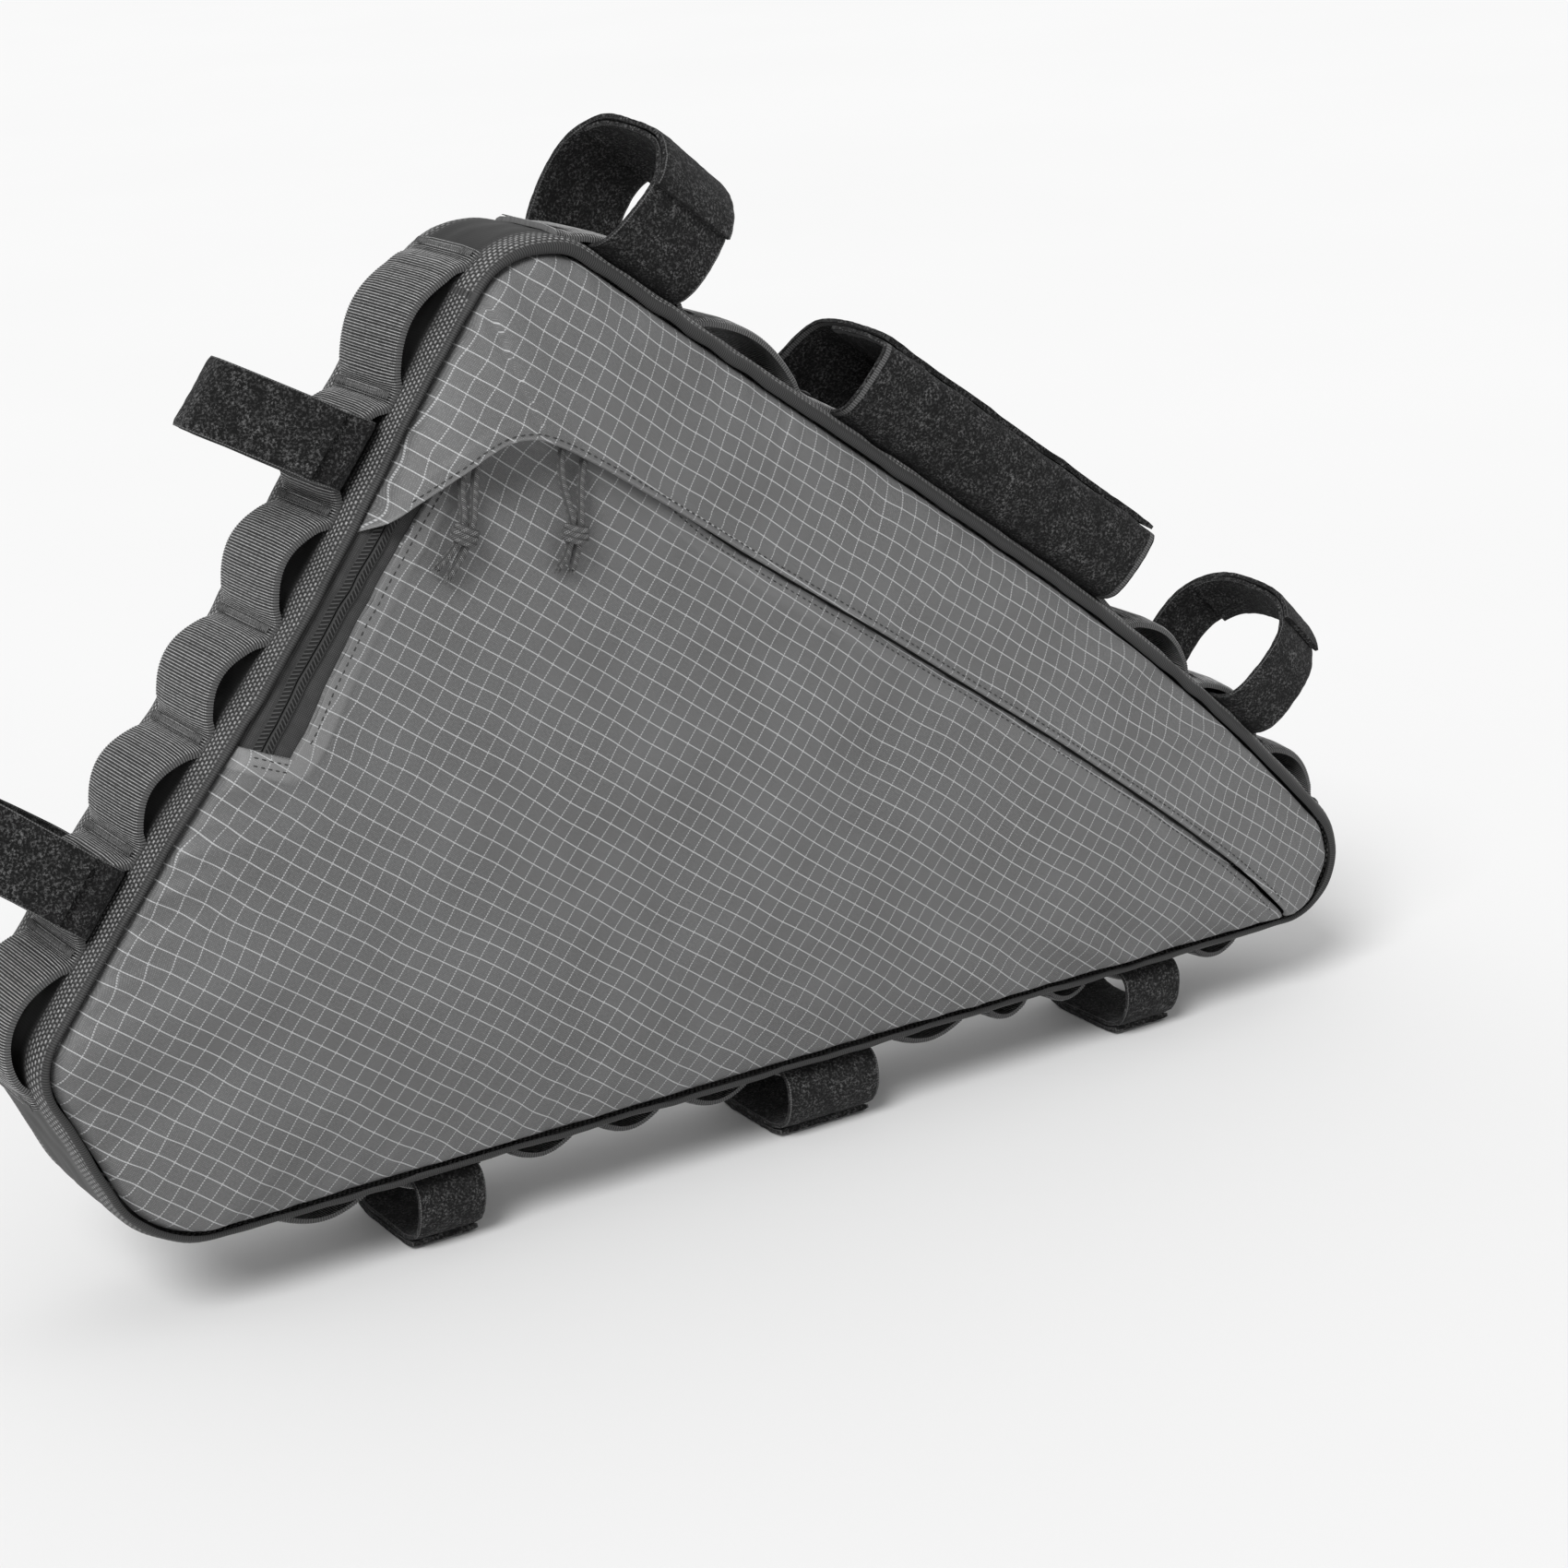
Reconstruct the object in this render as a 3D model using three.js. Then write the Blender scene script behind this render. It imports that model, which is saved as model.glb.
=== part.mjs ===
// A full-frame bicycle bag, in millimetres, +Z up.
// Bag coordinates: along follows the top edge forward, up is square to it, y is the depth
// (minus y is the front). The top seat corner of the sharp outline is 0, 0.
// At the end the bag is turned so that its lower edge is level and it stands on its three lower loops.
import * as THREE from 'three';

// Body
const TOP_RUN = 472; // top edge, from seat corner to nose corner
const SEAT_RUN = 344; // from the top edge down to the lowest corner
const GUSSET_DEPTH = 60; // between the front and the back seam
const CLOTH = 1.5; // wall of the gusset and the panels
const SEAM_GAP = 0.35; // clearance between sewn pieces
const SHOULDER_DEPTH = 10; // how far the rounded gusset edge reaches in from the seam
const SHOULDER_START = 1.6; // how far outside the seam the gusset edge rolls
const SHOULDER_ROLL = 20; // degrees by which that roll starts inside its crest
const FRONT_BULGE = 15; // crown of the front panel over its seam
const BACK_BULGE = 12; // crown of the back panel over its seam
const DOME_FALL = 2.5; // how late a panel falls off between its crown and its seam
const DOME_ROUND = 0.6; // how round that fall is: 0.5 is an ellipse, 1 is a straight rim

// Zipper and flap
const FLAP_LIFT = 6.6; // height of the storm flap's free edge over the panel, at the pulls
const FLAP_REST = 3.6; // the same further forward
const FLAP_OPEN = 110; // length of the edge that stands open round the pulls
const FLAP_RAMP = 9; // length in which that edge comes up from the seam
const FLAP_FALL = 1.5; // how late the lift falls off between the edge and the seam
const FLAP_CLEARANCE = 0.7; // from the flap's edge down to the lower panel's
const TAPE_THICKNESS = 0.8;
const TAPE_OUTSIDE = 8; // tape width from the coil towards the flap's seam
const TAPE_INSIDE = 14; // tape width from the coil towards the lower panel
const COIL_WIDTH = 5;
const COIL_HEIGHT = 1.8;
const SLIDER_LENGTH = 11;
const SLIDER_WIDTH = 8;
const SLIDER_HEIGHT = 1.5;
const CORD_DIAMETER = 2.8;
const KNOT_DIAMETER = 8.8;
const KNOT_HEIGHT = 6;
const KNOT_CLEARANCE = 0.5;

// Webbing and straps
const WEB_WIDTH = 40;
const WEB_THICKNESS = 1.8;
const TACK_LENGTH = 5; // flat stretch of a bar tack
const SPAN_OF_ROUND_ARCH = 30; // a longer span between two tacks is flatter on top
const STRAP_THICKNESS = 2;
const LOOP_DEPTH = 62; // of the round loops, front to back
const GROUND_CLEARANCE = 33; // from the lower seam down to the floor
const LAP_START = 0.14; // share of the way round at which a strap begins to climb over its start
const LOOK_AHEAD = 0.004; // share of the way round over which a strap's direction is taken
const ARCH_STEPS = 8; // flats in an arch of webbing
const ARC_STEP = 13; // degrees, the largest step round a corner of the seam
const PANEL_SPREAD = 1.5; // how much closer the rows of a front panel lie at its free edge

const DEGREE = Math.PI / 180;

// Corners of the sharp outline, clockwise seen from the front. along and up are shares of TOP_RUN and
// SEAT_RUN, radius is the seam's, rise is the gusset's height over the seam on the edge that follows.
const CORNERS = [
  { name: 'seat_top', along: 0, up: 0, radius: 28, rise: 6.5 },
  { name: 'crest', along: 0.695, up: 0, radius: 900, rise: 6.5 },
  { name: 'nose', along: 1, up: -0.0735, radius: 22, rise: 4.5 },
  { name: 'heel', along: 0.1345, up: -1, radius: 36, rise: 4.5 },
  { name: 'seat_foot', along: -0.0042, up: -0.897, radius: 20, rise: 3 },
];

// The storm flap's free edge and the zipper's coil, from the seat seam forward, shares of the runs
const FLAP_EDGE = [
  { along: 0.016, up: -0.297 },
  { along: 0.029, up: -0.264 },
  { along: 0.042, up: -0.231 },
  { along: 0.051, up: -0.206 },
  { along: 0.058, up: -0.184 },
  { along: 0.073, up: -0.169 },
  { along: 0.092, up: -0.163 },
  { along: 0.114, up: -0.160 },
  { along: 0.177, up: -0.156 },
  { along: 0.309, up: -0.150 },
  { along: 0.443, up: -0.145 },
  { along: 0.645, up: -0.140 },
  { along: 0.818, up: -0.148 },
];
const COIL_LINE = [
  { along: 0.018, up: -0.530 },
  { along: 0.018, up: -0.345 },
  { along: 0.020, up: -0.270 },
  { along: 0.031, up: -0.205 },
  { along: 0.056, up: -0.155 },
  { along: 0.089, up: -0.133 },
  { along: 0.130, up: -0.125 },
  { along: 0.273, up: -0.120 },
  { along: 0.645, up: -0.118 },
  { along: 0.818, up: -0.126 },
];
const FLAP_START = 0.325; // where the flap's edge leaves the seat seam, a share of SEAT_RUN
const ZIP_END = 0.541; // where the lower panel's hem crosses the zipper, a share of SEAT_RUN
const HEM_WIDTH = 21; // of that hem, from the seat seam to the panel's folded edge

// Bar tacks of the three webbings, shares of the run that each one follows, and the height of an arch
const WEBBINGS = [
  {
    name: 'webbing_seat',
    edge: 'seat',
    arch: 9,
    tacks: [0.052, 0.2, 0.32, 0.442, 0.561, 0.681, 0.788, 0.925],
  },
  {
    name: 'webbing_top',
    edge: 'top',
    arch: 7.5,
    tacks: [0.045, 0.163, 0.28, 0.636, 0.727, 0.824, 0.905],
  },
  {
    name: 'webbing_down',
    edge: 'down',
    arch: 7,
    tacks: [0.081, 0.166, 0.249, 0.318, 0.385, 0.455, 0.555, 0.636, 0.69, 0.744, 0.823, 0.883],
  },
];

// Outlines of the closed loops, from the middle of the base round by the front: across is a share of
// half the loop's depth, out a share of its height
const ROUND = [
  { across: -0.74, out: 0 },
  { across: -0.95, out: 0.09 },
  { across: -1, out: 0.38 },
  { across: -0.88, out: 0.72 },
  { across: -0.52, out: 0.95 },
  { across: 0, out: 1 },
  { across: 0.52, out: 0.95 },
  { across: 0.88, out: 0.72 },
  { across: 1, out: 0.38 },
  { across: 0.95, out: 0.09 },
  { across: 0.74, out: 0 },
];
const FOOT = [
  { across: -0.74, out: 0 },
  { across: -0.96, out: 0.14 },
  { across: -1, out: 0.5 },
  { across: -0.84, out: 0.86 },
  { across: -0.5, out: 1 },
  { across: 0, out: 1 },
  { across: 0.5, out: 1 },
  { across: 0.84, out: 0.86 },
  { across: 1, out: 0.5 },
  { across: 0.96, out: 0.14 },
  { across: 0.74, out: 0 },
];
const PINCHED = [
  { across: -0.74, out: 0 },
  { across: -0.9, out: 0.09 },
  { across: -0.78, out: 0.36 },
  { across: -0.44, out: 0.74 },
  { across: -0.1, out: 1 },
  { across: 0.1, out: 1 },
  { across: 0.46, out: 0.74 },
  { across: 0.82, out: 0.36 },
  { across: 0.92, out: 0.09 },
  { across: 0.74, out: 0 },
];
const HOUSE = [
  { across: -0.66, out: 0 },
  { across: -0.88, out: 0.09 },
  { across: -1, out: 0.4 },
  { across: -1.03, out: 0.8 },
  { across: -0.99, out: 1.0 },
  { across: -0.9, out: 1.03 },
  { across: -0.35, out: 1.08 },
  { across: 0.2, out: 1.06 },
  { across: 0.5, out: 0.98 },
  { across: 0.78, out: 0.6 },
  { across: 0.95, out: 0.14 },
  { across: 0.7, out: 0 },
];

// The straps: at is a share of the edge's run, height is over the seam, twist is how far its far end turns,
// droop is how far it leans down its edge for each millimetre out, lap_from and lap_to are the shares of
// the way round where the doubled stretch starts and ends
const STRAPS = [
  { name: 'strap_top_rear', edge: 'top', at: 0.105, width: 38, height: 54, depth: LOOP_DEPTH,
    form: ROUND, steps: 44, twist: 14, droop: 0, lap_from: 0.3, lap_to: 0.62 },
  { name: 'strap_top_wide', edge: 'top', at: 0.455, width: 143, height: 41, depth: 68,
    form: HOUSE, steps: 60, twist: 0, droop: 0, lap_from: 0.36, lap_to: 0.56 },
  { name: 'strap_top_front', edge: 'top', at: 0.778, width: 25, height: 58, depth: 69,
    form: ROUND, steps: 44, twist: 8, droop: 0, lap_from: 0.36, lap_to: 0.64 },
  { name: 'strap_seat_upper', edge: 'seat', at: 0.265, width: 25, height: 55, depth: LOOP_DEPTH,
    form: PINCHED, steps: 52, twist: 0, droop: 0.14, lap_from: 0.22, lap_to: 0.6 },
  { name: 'strap_seat_lower', edge: 'seat', at: 0.734, width: 25, height: 55, depth: LOOP_DEPTH,
    form: PINCHED, steps: 52, twist: 0, droop: 0, lap_from: 0.22, lap_to: 0.6 },
  { name: 'strap_down_rear', edge: 'down', at: 0.2077, width: 25, height: GROUND_CLEARANCE,
    depth: LOOP_DEPTH, form: FOOT, steps: 44, twist: 0, droop: 0, lap_from: 0.36, lap_to: 0.66 },
  { name: 'strap_down_middle', edge: 'down', at: 0.505, width: 38, height: GROUND_CLEARANCE,
    depth: LOOP_DEPTH, form: FOOT, steps: 44, twist: 0, droop: 0, lap_from: 0.36, lap_to: 0.66 },
  { name: 'strap_down_front', edge: 'down', at: 0.7835, width: 25, height: GROUND_CLEARANCE,
    depth: LOOP_DEPTH, form: FOOT, steps: 44, twist: 0, droop: 0, lap_from: 0.36, lap_to: 0.66 },
];

// The two zipper pulls, each of two strands from the slider through the knot to a free end. Points
// chosen by hand: along, up and the height over the front panel. slider is a share of the coil's length.
const PULLS = [
  {
    name: 'upper',
    slider: 0.32,
    left: [
      [44.6, -49.6, 1.8], [45.6, -57, 1.85], [50.2, -65, 2.8], [55.4, -70.8, 4.2], [58.7, -74.4, 4.9],
      [60.2, -77.7, 4.9], [61.7, -81, 4.9], [63.2, -85, 3.8], [63.8, -88.8, 2.4],
    ],
    right: [
      [53.4, -48.8, 1.8], [53.8, -55, 1.85], [56.6, -63, 2.8], [59.6, -69.4, 4.2], [61.4, -73.2, 4.9],
      [62.9, -76.5, 4.9], [64.4, -79.8, 4.9], [66.4, -83.4, 3.8], [68.2, -87, 2.4],
    ],
  },
  {
    name: 'lower',
    slider: 0.231,
    left: [
      [18.4, -75.2, 1.8], [20.3, -80.2, 1.85], [23, -86, 2.8], [25.3, -90.4, 4.2], [26.2, -93.1, 4.9],
      [27, -96.2, 4.9], [27.8, -99.4, 4.9], [27.9, -104.3, 3.8], [27.3, -109, 2.4],
    ],
    right: [
      [21.6, -70.6, 1.8], [23.6, -77.2, 1.85], [26.4, -84, 2.8], [28.5, -89.3, 4.2], [29.3, -92.4, 4.9],
      [30.1, -95.5, 4.9], [30.8, -98.7, 4.9], [31.7, -103.8, 3.8], [32.1, -109.4, 2.4],
    ],
  },
];

const FABRIC = new THREE.MeshStandardMaterial({ color: 0x67686a, roughness: 0.75, metalness: 0 });
const GUSSET_CLOTH = new THREE.MeshStandardMaterial({ color: 0x3a3b3c, roughness: 0.85, metalness: 0 });
const WEBBING = new THREE.MeshStandardMaterial({ color: 0x4a4c4d, roughness: 0.7, metalness: 0 });
const HOOK_LOOP = new THREE.MeshStandardMaterial({ color: 0x232324, roughness: 0.95, metalness: 0 });
const TAPE = new THREE.MeshStandardMaterial({ color: 0x2c2d2e, roughness: 0.8, metalness: 0 });
const METAL = new THREE.MeshStandardMaterial({ color: 0x2a2a2b, roughness: 0.45, metalness: 0.8 });
const CORD = new THREE.MeshStandardMaterial({ color: 0x5c5d5f, roughness: 0.8, metalness: 0 });

const bag = new THREE.Group();

function addMesh(name, geometry, material) {
  geometry.computeVertexNormals();
  const mesh = new THREE.Mesh(geometry, material);
  mesh.name = name;
  bag.add(mesh);
}

// Outline of the seam

const corners = CORNERS.map((row) => ({ ...row, along: row.along * TOP_RUN, up: row.up * SEAT_RUN }));

function unit(from, to) {
  const length = Math.hypot(to.along - from.along, to.up - from.up);
  return { along: (to.along - from.along) / length, up: (to.up - from.up) / length, length };
}

// Each corner becomes an arc; the seam is the closed list of its samples, with the way run so far
function traceSeam() {
  const samples = [];
  const marks = {};
  let way = 0;
  corners.forEach((corner, i) => {
    const before = corners[(i + corners.length - 1) % corners.length];
    const after = corners[(i + 1) % corners.length];
    const incoming = unit(before, corner);
    const outgoing = unit(corner, after);
    const turn = Math.acos(incoming.along * outgoing.along + incoming.up * outgoing.up);
    const tangent = corner.radius * Math.tan(turn / 2);
    const normal = { along: -incoming.up, up: incoming.along };
    const centre = {
      along: corner.along - incoming.along * tangent - normal.along * corner.radius,
      up: corner.up - incoming.up * tangent - normal.up * corner.radius,
    };
    const steps = Math.max(4, Math.ceil(turn / (ARC_STEP * DEGREE)));
    if (samples.length > 0) {
      const last = samples[samples.length - 1];
      const start = {
        along: corner.along - incoming.along * tangent,
        up: corner.up - incoming.up * tangent,
      };
      way += unit(last, start).length;
    }
    marks[corner.name] = { start: way, end: way + corner.radius * turn, tangent };
    for (let k = 0; k <= steps; k += 1) {
      const angle = -turn * (k / steps);
      const out = {
        along: normal.along * Math.cos(angle) - normal.up * Math.sin(angle),
        up: normal.along * Math.sin(angle) + normal.up * Math.cos(angle),
      };
      samples.push({
        along: centre.along + out.along * corner.radius,
        up: centre.up + out.up * corner.radius,
        normal: out,
        rise: before.rise + (corner.rise - before.rise) * (k / steps),
        way: way + corner.radius * turn * (k / steps),
      });
    }
    way += corner.radius * turn;
  });
  const length = way + unit(samples[samples.length - 1], samples[0]).length;
  return { samples, marks, length };
}

const seam = traceSeam();

// The seam at a given way round it, clockwise from the start of the seat_top corner
function seamAt(way) {
  const wrapped = ((way % seam.length) + seam.length) % seam.length;
  const list = seam.samples;
  for (let i = 0; i < list.length; i += 1) {
    const here = list[i];
    const next = list[(i + 1) % list.length];
    const end = i + 1 < list.length ? next.way : seam.length;
    if (wrapped <= end || i + 1 === list.length) {
      const share = (wrapped - here.way) / (end - here.way);
      const mix = (a, b) => a + (b - a) * share;
      const normal = {
        along: mix(here.normal.along, next.normal.along),
        up: mix(here.normal.up, next.normal.up),
      };
      const size = Math.hypot(normal.along, normal.up);
      return {
        along: mix(here.along, next.along),
        up: mix(here.up, next.up),
        normal: { along: normal.along / size, up: normal.up / size },
        rise: mix(here.rise, next.rise),
      };
    }
  }
  return null;
}

// The way round at a distance along an edge, measured from the corner where the edge starts
const DOWN_RUN = unit(corners[3], corners[2]).length;
const wayOn = {
  top: (distance) => seam.marks.seat_top.end + distance - seam.marks.seat_top.tangent,
  seat: (distance) => seam.length - distance + seam.marks.seat_top.tangent,
  down: (distance) => seam.marks.heel.start - distance + seam.marks.heel.tangent,
};
const runOf = { top: TOP_RUN, seat: SEAT_RUN, down: DOWN_RUN };

// Crowned panels

// The middle of the dome is the centre of the circle that touches the three straight edges
function findCrown() {
  const [top, , nose, heel] = corners;
  const down = unit(heel, nose);
  const drop = (radius) => {
    const toward = { along: top.along + radius - heel.along, up: top.up - radius - heel.up };
    return down.along * toward.up - down.up * toward.along - radius;
  };
  let low = 0;
  let high = SEAT_RUN;
  for (let i = 0; i < 40; i += 1) {
    const middle = (low + high) / 2;
    if (drop(middle) > 0) low = middle;
    else high = middle;
  }
  return { along: top.along + low, up: top.up - low };
}

const crown = findCrown();

// How far out a point lies between the crown, 0, and the seam, 1
function domeShare(along, up) {
  const dx = along - crown.along;
  const dz = up - crown.up;
  const list = seam.samples;
  for (let i = 0; i < list.length; i += 1) {
    const a = list[i];
    const b = list[(i + 1) % list.length];
    const ax = a.along - crown.along;
    const az = a.up - crown.up;
    const ex = b.along - a.along;
    const ez = b.up - a.up;
    const cross = dx * ez - dz * ex;
    if (Math.abs(cross) > 1e-9) {
      const reach = (ax * ez - az * ex) / cross;
      const place = (ax * dz - az * dx) / cross;
      if (reach > 0 && place >= -1e-6 && place <= 1 + 1e-6) return Math.min(1, 1 / reach);
    }
  }
  return 0;
}

function domeHeight(along, up, bulge) {
  return bulge * (1 - domeShare(along, up) ** DOME_FALL) ** DOME_ROUND;
}

// A point of the front, at a height over the lower panel's outer face
function frontPoint(along, up, height) {
  const y = -GUSSET_DEPTH / 2 - domeHeight(along, up, FRONT_BULGE) - height;
  return new THREE.Vector3(along, y, up);
}

// Closed meshes

function signedVolume(points, faces) {
  let volume = 0;
  for (const [a, b, c] of faces) volume += points[a].dot(points[b].clone().cross(points[c]));
  return volume;
}

// Merges equal points, drops collapsed triangles and turns the faces outward
function closedGeometry(triangles) {
  const points = [];
  const places = new Map();
  const placeOf = (point) => {
    const key = [point.x, point.y, point.z].map((value) => value.toFixed(4)).join(' ');
    if (!places.has(key)) {
      places.set(key, points.length);
      points.push(point);
    }
    return places.get(key);
  };
  const faces = triangles
    .map((triangle) => triangle.map(placeOf))
    .filter(([a, b, c]) => a !== b && b !== c && c !== a);
  const inward = signedVolume(points, faces) < 0;
  const geometry = new THREE.BufferGeometry();
  geometry.setFromPoints(points);
  geometry.setIndex(faces.flatMap(([a, b, c]) => (inward ? [a, c, b] : [a, b, c])));
  return geometry;
}

function pushQuad(triangles, a, b, c, d) {
  triangles.push([a, b, c], [a, c, d]);
}

// A sheet between two grids of points with the same rows and columns
function sheetGeometry(outer, inner) {
  const triangles = [];
  const rows = outer.length;
  const columns = outer[0].length;
  for (let i = 0; i + 1 < rows; i += 1) {
    for (let j = 0; j + 1 < columns; j += 1) {
      pushQuad(triangles, outer[i][j], outer[i + 1][j], outer[i + 1][j + 1], outer[i][j + 1]);
      pushQuad(triangles, inner[i][j], inner[i][j + 1], inner[i + 1][j + 1], inner[i + 1][j]);
    }
  }
  for (let i = 0; i + 1 < rows; i += 1) {
    for (const j of [0, columns - 1]) {
      const side = [outer[i][j], inner[i][j], inner[i + 1][j], outer[i + 1][j]];
      if (j === 0) pushQuad(triangles, ...side);
      else pushQuad(triangles, ...side.reverse());
    }
  }
  for (let j = 0; j + 1 < columns; j += 1) {
    for (const i of [0, rows - 1]) {
      const side = [outer[i][j], outer[i][j + 1], inner[i][j + 1], inner[i][j]];
      if (i === 0) pushQuad(triangles, ...side);
      else pushQuad(triangles, ...side.reverse());
    }
  }
  return closedGeometry(triangles);
}

// A closed section carried round a closed path
function ringGeometry(sections) {
  const triangles = [];
  sections.forEach((section, i) => {
    const next = sections[(i + 1) % sections.length];
    section.forEach((point, j) => {
      const k = (j + 1) % section.length;
      pushQuad(triangles, point, next[j], next[k], section[k]);
    });
  });
  return closedGeometry(triangles);
}

// Gusset

function addGusset() {
  const half = GUSSET_DEPTH / 2;
  const steps = 4;
  const shoulder = (inset, rise) => {
    const row = [];
    for (let k = 0; k <= steps; k += 1) {
      const angle = (-SHOULDER_ROLL + ((90 + SHOULDER_ROLL) * k) / steps) * DEGREE;
      const out = SHOULDER_START + (rise - SHOULDER_START - inset) * Math.sin(angle);
      const y = half - SHOULDER_DEPTH + (SHOULDER_DEPTH + CLOTH - inset) * Math.cos(angle);
      row.push([Math.max(out, 0), y]);
    }
    return row;
  };
  const sections = seam.samples.map((sample) => {
    const outside = shoulder(0, sample.rise);
    const inside = shoulder(CLOTH, sample.rise);
    const profile = [
      ...outside.map(([out, y]) => [out, -y]),
      ...outside.slice().reverse(),
      ...inside,
      ...inside.slice().reverse().map(([out, y]) => [out, -y]),
    ];
    return profile.map(([out, y]) => new THREE.Vector3(
      sample.along + sample.normal.along * out, y, sample.up + sample.normal.up * out));
  });
  addMesh('gusset', ringGeometry(sections), GUSSET_CLOTH);
}

// Panels

function seamPoints(fromWay, toWay, count) {
  const list = [];
  for (let k = 0; k <= count; k += 1) {
    const place = seamAt(fromWay + ((toWay - fromWay) * k) / count);
    list.push({
      along: place.along - place.normal.along * SEAM_GAP,
      up: place.up - place.normal.up * SEAM_GAP,
    });
  }
  return list;
}

// Equal steps along a line of points, smoothed unless sharp
function spread(rows, count, sharp = false) {
  const points = rows.map((row) => new THREE.Vector3(row.along, 0, row.up));
  if (!sharp) {
    return new THREE.CatmullRomCurve3(points, false, 'centripetal').getSpacedPoints(count)
      .map((point) => ({ along: point.x, up: point.z }));
  }
  const path = new THREE.CurvePath();
  for (let i = 0; i + 1 < points.length; i += 1) path.add(new THREE.LineCurve3(points[i], points[i + 1]));
  return path.getSpacedPoints(count).map((point) => ({ along: point.x, up: point.z }));
}

const scaled = (rows) => rows.map((row) => ({ along: row.along * TOP_RUN, up: row.up * SEAT_RUN }));
const noseWay = seam.marks.nose.end;
const flapStartWay = wayOn.seat(FLAP_START * SEAT_RUN);
const zipEndWay = wayOn.seat(ZIP_END * SEAT_RUN);
const flapEdge = [seamPoints(flapStartWay, flapStartWay, 1)[0], ...scaled(FLAP_EDGE),
  seamPoints(noseWay, noseWay, 1)[0]];

// A sheet ruled from one edge line to the other, following the dome; lift(u, v) is its height over it
function ruledPanel(near, far, across, lift, thickness) {
  const grid = (depth) => near.map((start, i) => {
    const row = [];
    for (let j = 0; j <= across; j += 1) {
      const share = (j / across) ** PANEL_SPREAD;
      const along = start.along + (far[i].along - start.along) * share;
      const up = start.up + (far[i].up - start.up) * share;
      row.push(frontPoint(along, up, lift(start, share) - depth));
    }
    return row;
  });
  return sheetGeometry(grid(0), grid(thickness));
}

// How far the flap's free edge stands off at a point of it: nothing where it is sewn in
function flapLift(start, share) {
  const first = flapEdge[0];
  const last = flapEdge[flapEdge.length - 1];
  const fromSeam = Math.min(unit(first, start).length || 0, unit(start, last).length || 0);
  const ends = THREE.MathUtils.smoothstep(fromSeam, 0, FLAP_RAMP);
  const closed = THREE.MathUtils.smoothstep(start.along, FLAP_OPEN / 2, FLAP_OPEN);
  const lift = FLAP_LIFT + (FLAP_REST - FLAP_LIFT) * closed;
  return lift * ends * (1 - share ** FLAP_FALL);
}

function addFrontFlap() {
  const count = 34;
  const near = spread(flapEdge, count);
  const far = seamPoints(flapStartWay - seam.length, noseWay, count);
  far[0] = near[0];
  far[count] = near[count];
  addMesh('front_flap_panel', ruledPanel(near, far, 6, flapLift, CLOTH), FABRIC);
}

// The lower panel starts under the zipper, runs up its folded edge and on just below the flap's edge
function addFrontLower() {
  const count = 38;
  const start = seamPoints(zipEndWay, zipEndWay, 1)[0];
  const fold = { along: start.along + HEM_WIDTH, up: start.up };
  const edge = spread(flapEdge, 60);
  const below = edge
    .map((point, i) => {
      const next = edge[Math.min(i + 1, edge.length - 1)];
      const way = unit(edge[Math.max(i - 1, 0)], next);
      return {
        along: point.along + way.up * FLAP_CLEARANCE,
        up: point.up - way.along * FLAP_CLEARANCE,
      };
    })
    .filter((point, i) => point.along > start.along + HEM_WIDTH * 0.8 && i + 2 < edge.length);
  const end = seamPoints(noseWay + 1, noseWay + 1, 1)[0];
  const near = spread([start, fold, ...below, end], count, true);
  const far = seamPoints(zipEndWay, noseWay + 1, count);
  near[0] = start;
  near[count] = end;
  far[0] = start;
  far[count] = end;
  const panel = (points, opposite) => ruledPanel(points, opposite, 7, () => 0, CLOTH);
  addMesh('front_lower_panel', panel(near, far), FABRIC);
}

function addBackPanel() {
  const rim = seam.samples.map((sample) => ({
    along: sample.along - sample.normal.along * SEAM_GAP,
    up: sample.up - sample.normal.up * SEAM_GAP,
  }));
  rim.push(rim[0]);
  const shares = [1, 0.96, 0.86, 0.66, 0.35, 0];
  const grid = (depth) => rim.map((point) => shares.map((share) => {
    const along = crown.along + (point.along - crown.along) * share;
    const up = crown.up + (point.up - crown.up) * share;
    return new THREE.Vector3(along, GUSSET_DEPTH / 2 + domeHeight(along, up, BACK_BULGE) - depth, up);
  }));
  addMesh('back_panel', sheetGeometry(grid(0), grid(CLOTH)), FABRIC);
}

// Zipper

// A strip beside the coil line, from left to right of it, between two heights over the lower panel
function stripAlongCoil(left, right, top, bottom, count, columns) {
  const line = spread(scaled(COIL_LINE), count);
  const grid = (height) => line.map((point, i) => {
    const way = unit(line[Math.max(i - 1, 0)], line[Math.min(i + 1, count)]);
    const row = [];
    for (let j = 0; j <= columns; j += 1) {
      const side = -left + ((left + right) * j) / columns;
      row.push(frontPoint(point.along + way.up * side, point.up - way.along * side, height));
    }
    return row;
  });
  return sheetGeometry(grid(top), grid(bottom));
}

const tapeTop = -CLOTH - SEAM_GAP;
const coilBottom = tapeTop + SEAM_GAP;
const coilTop = coilBottom + COIL_HEIGHT;
const sliderBottom = coilTop + SEAM_GAP;

function addZipper() {
  const tape = stripAlongCoil(TAPE_OUTSIDE, TAPE_INSIDE, tapeTop, tapeTop - TAPE_THICKNESS, 30, 3);
  const coil = stripAlongCoil(COIL_WIDTH / 2, COIL_WIDTH / 2, coilTop, coilBottom, 30, 1);
  addMesh('zipper_tape', tape, TAPE);
  addMesh('zipper_coil', coil, TAPE);
}

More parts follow.
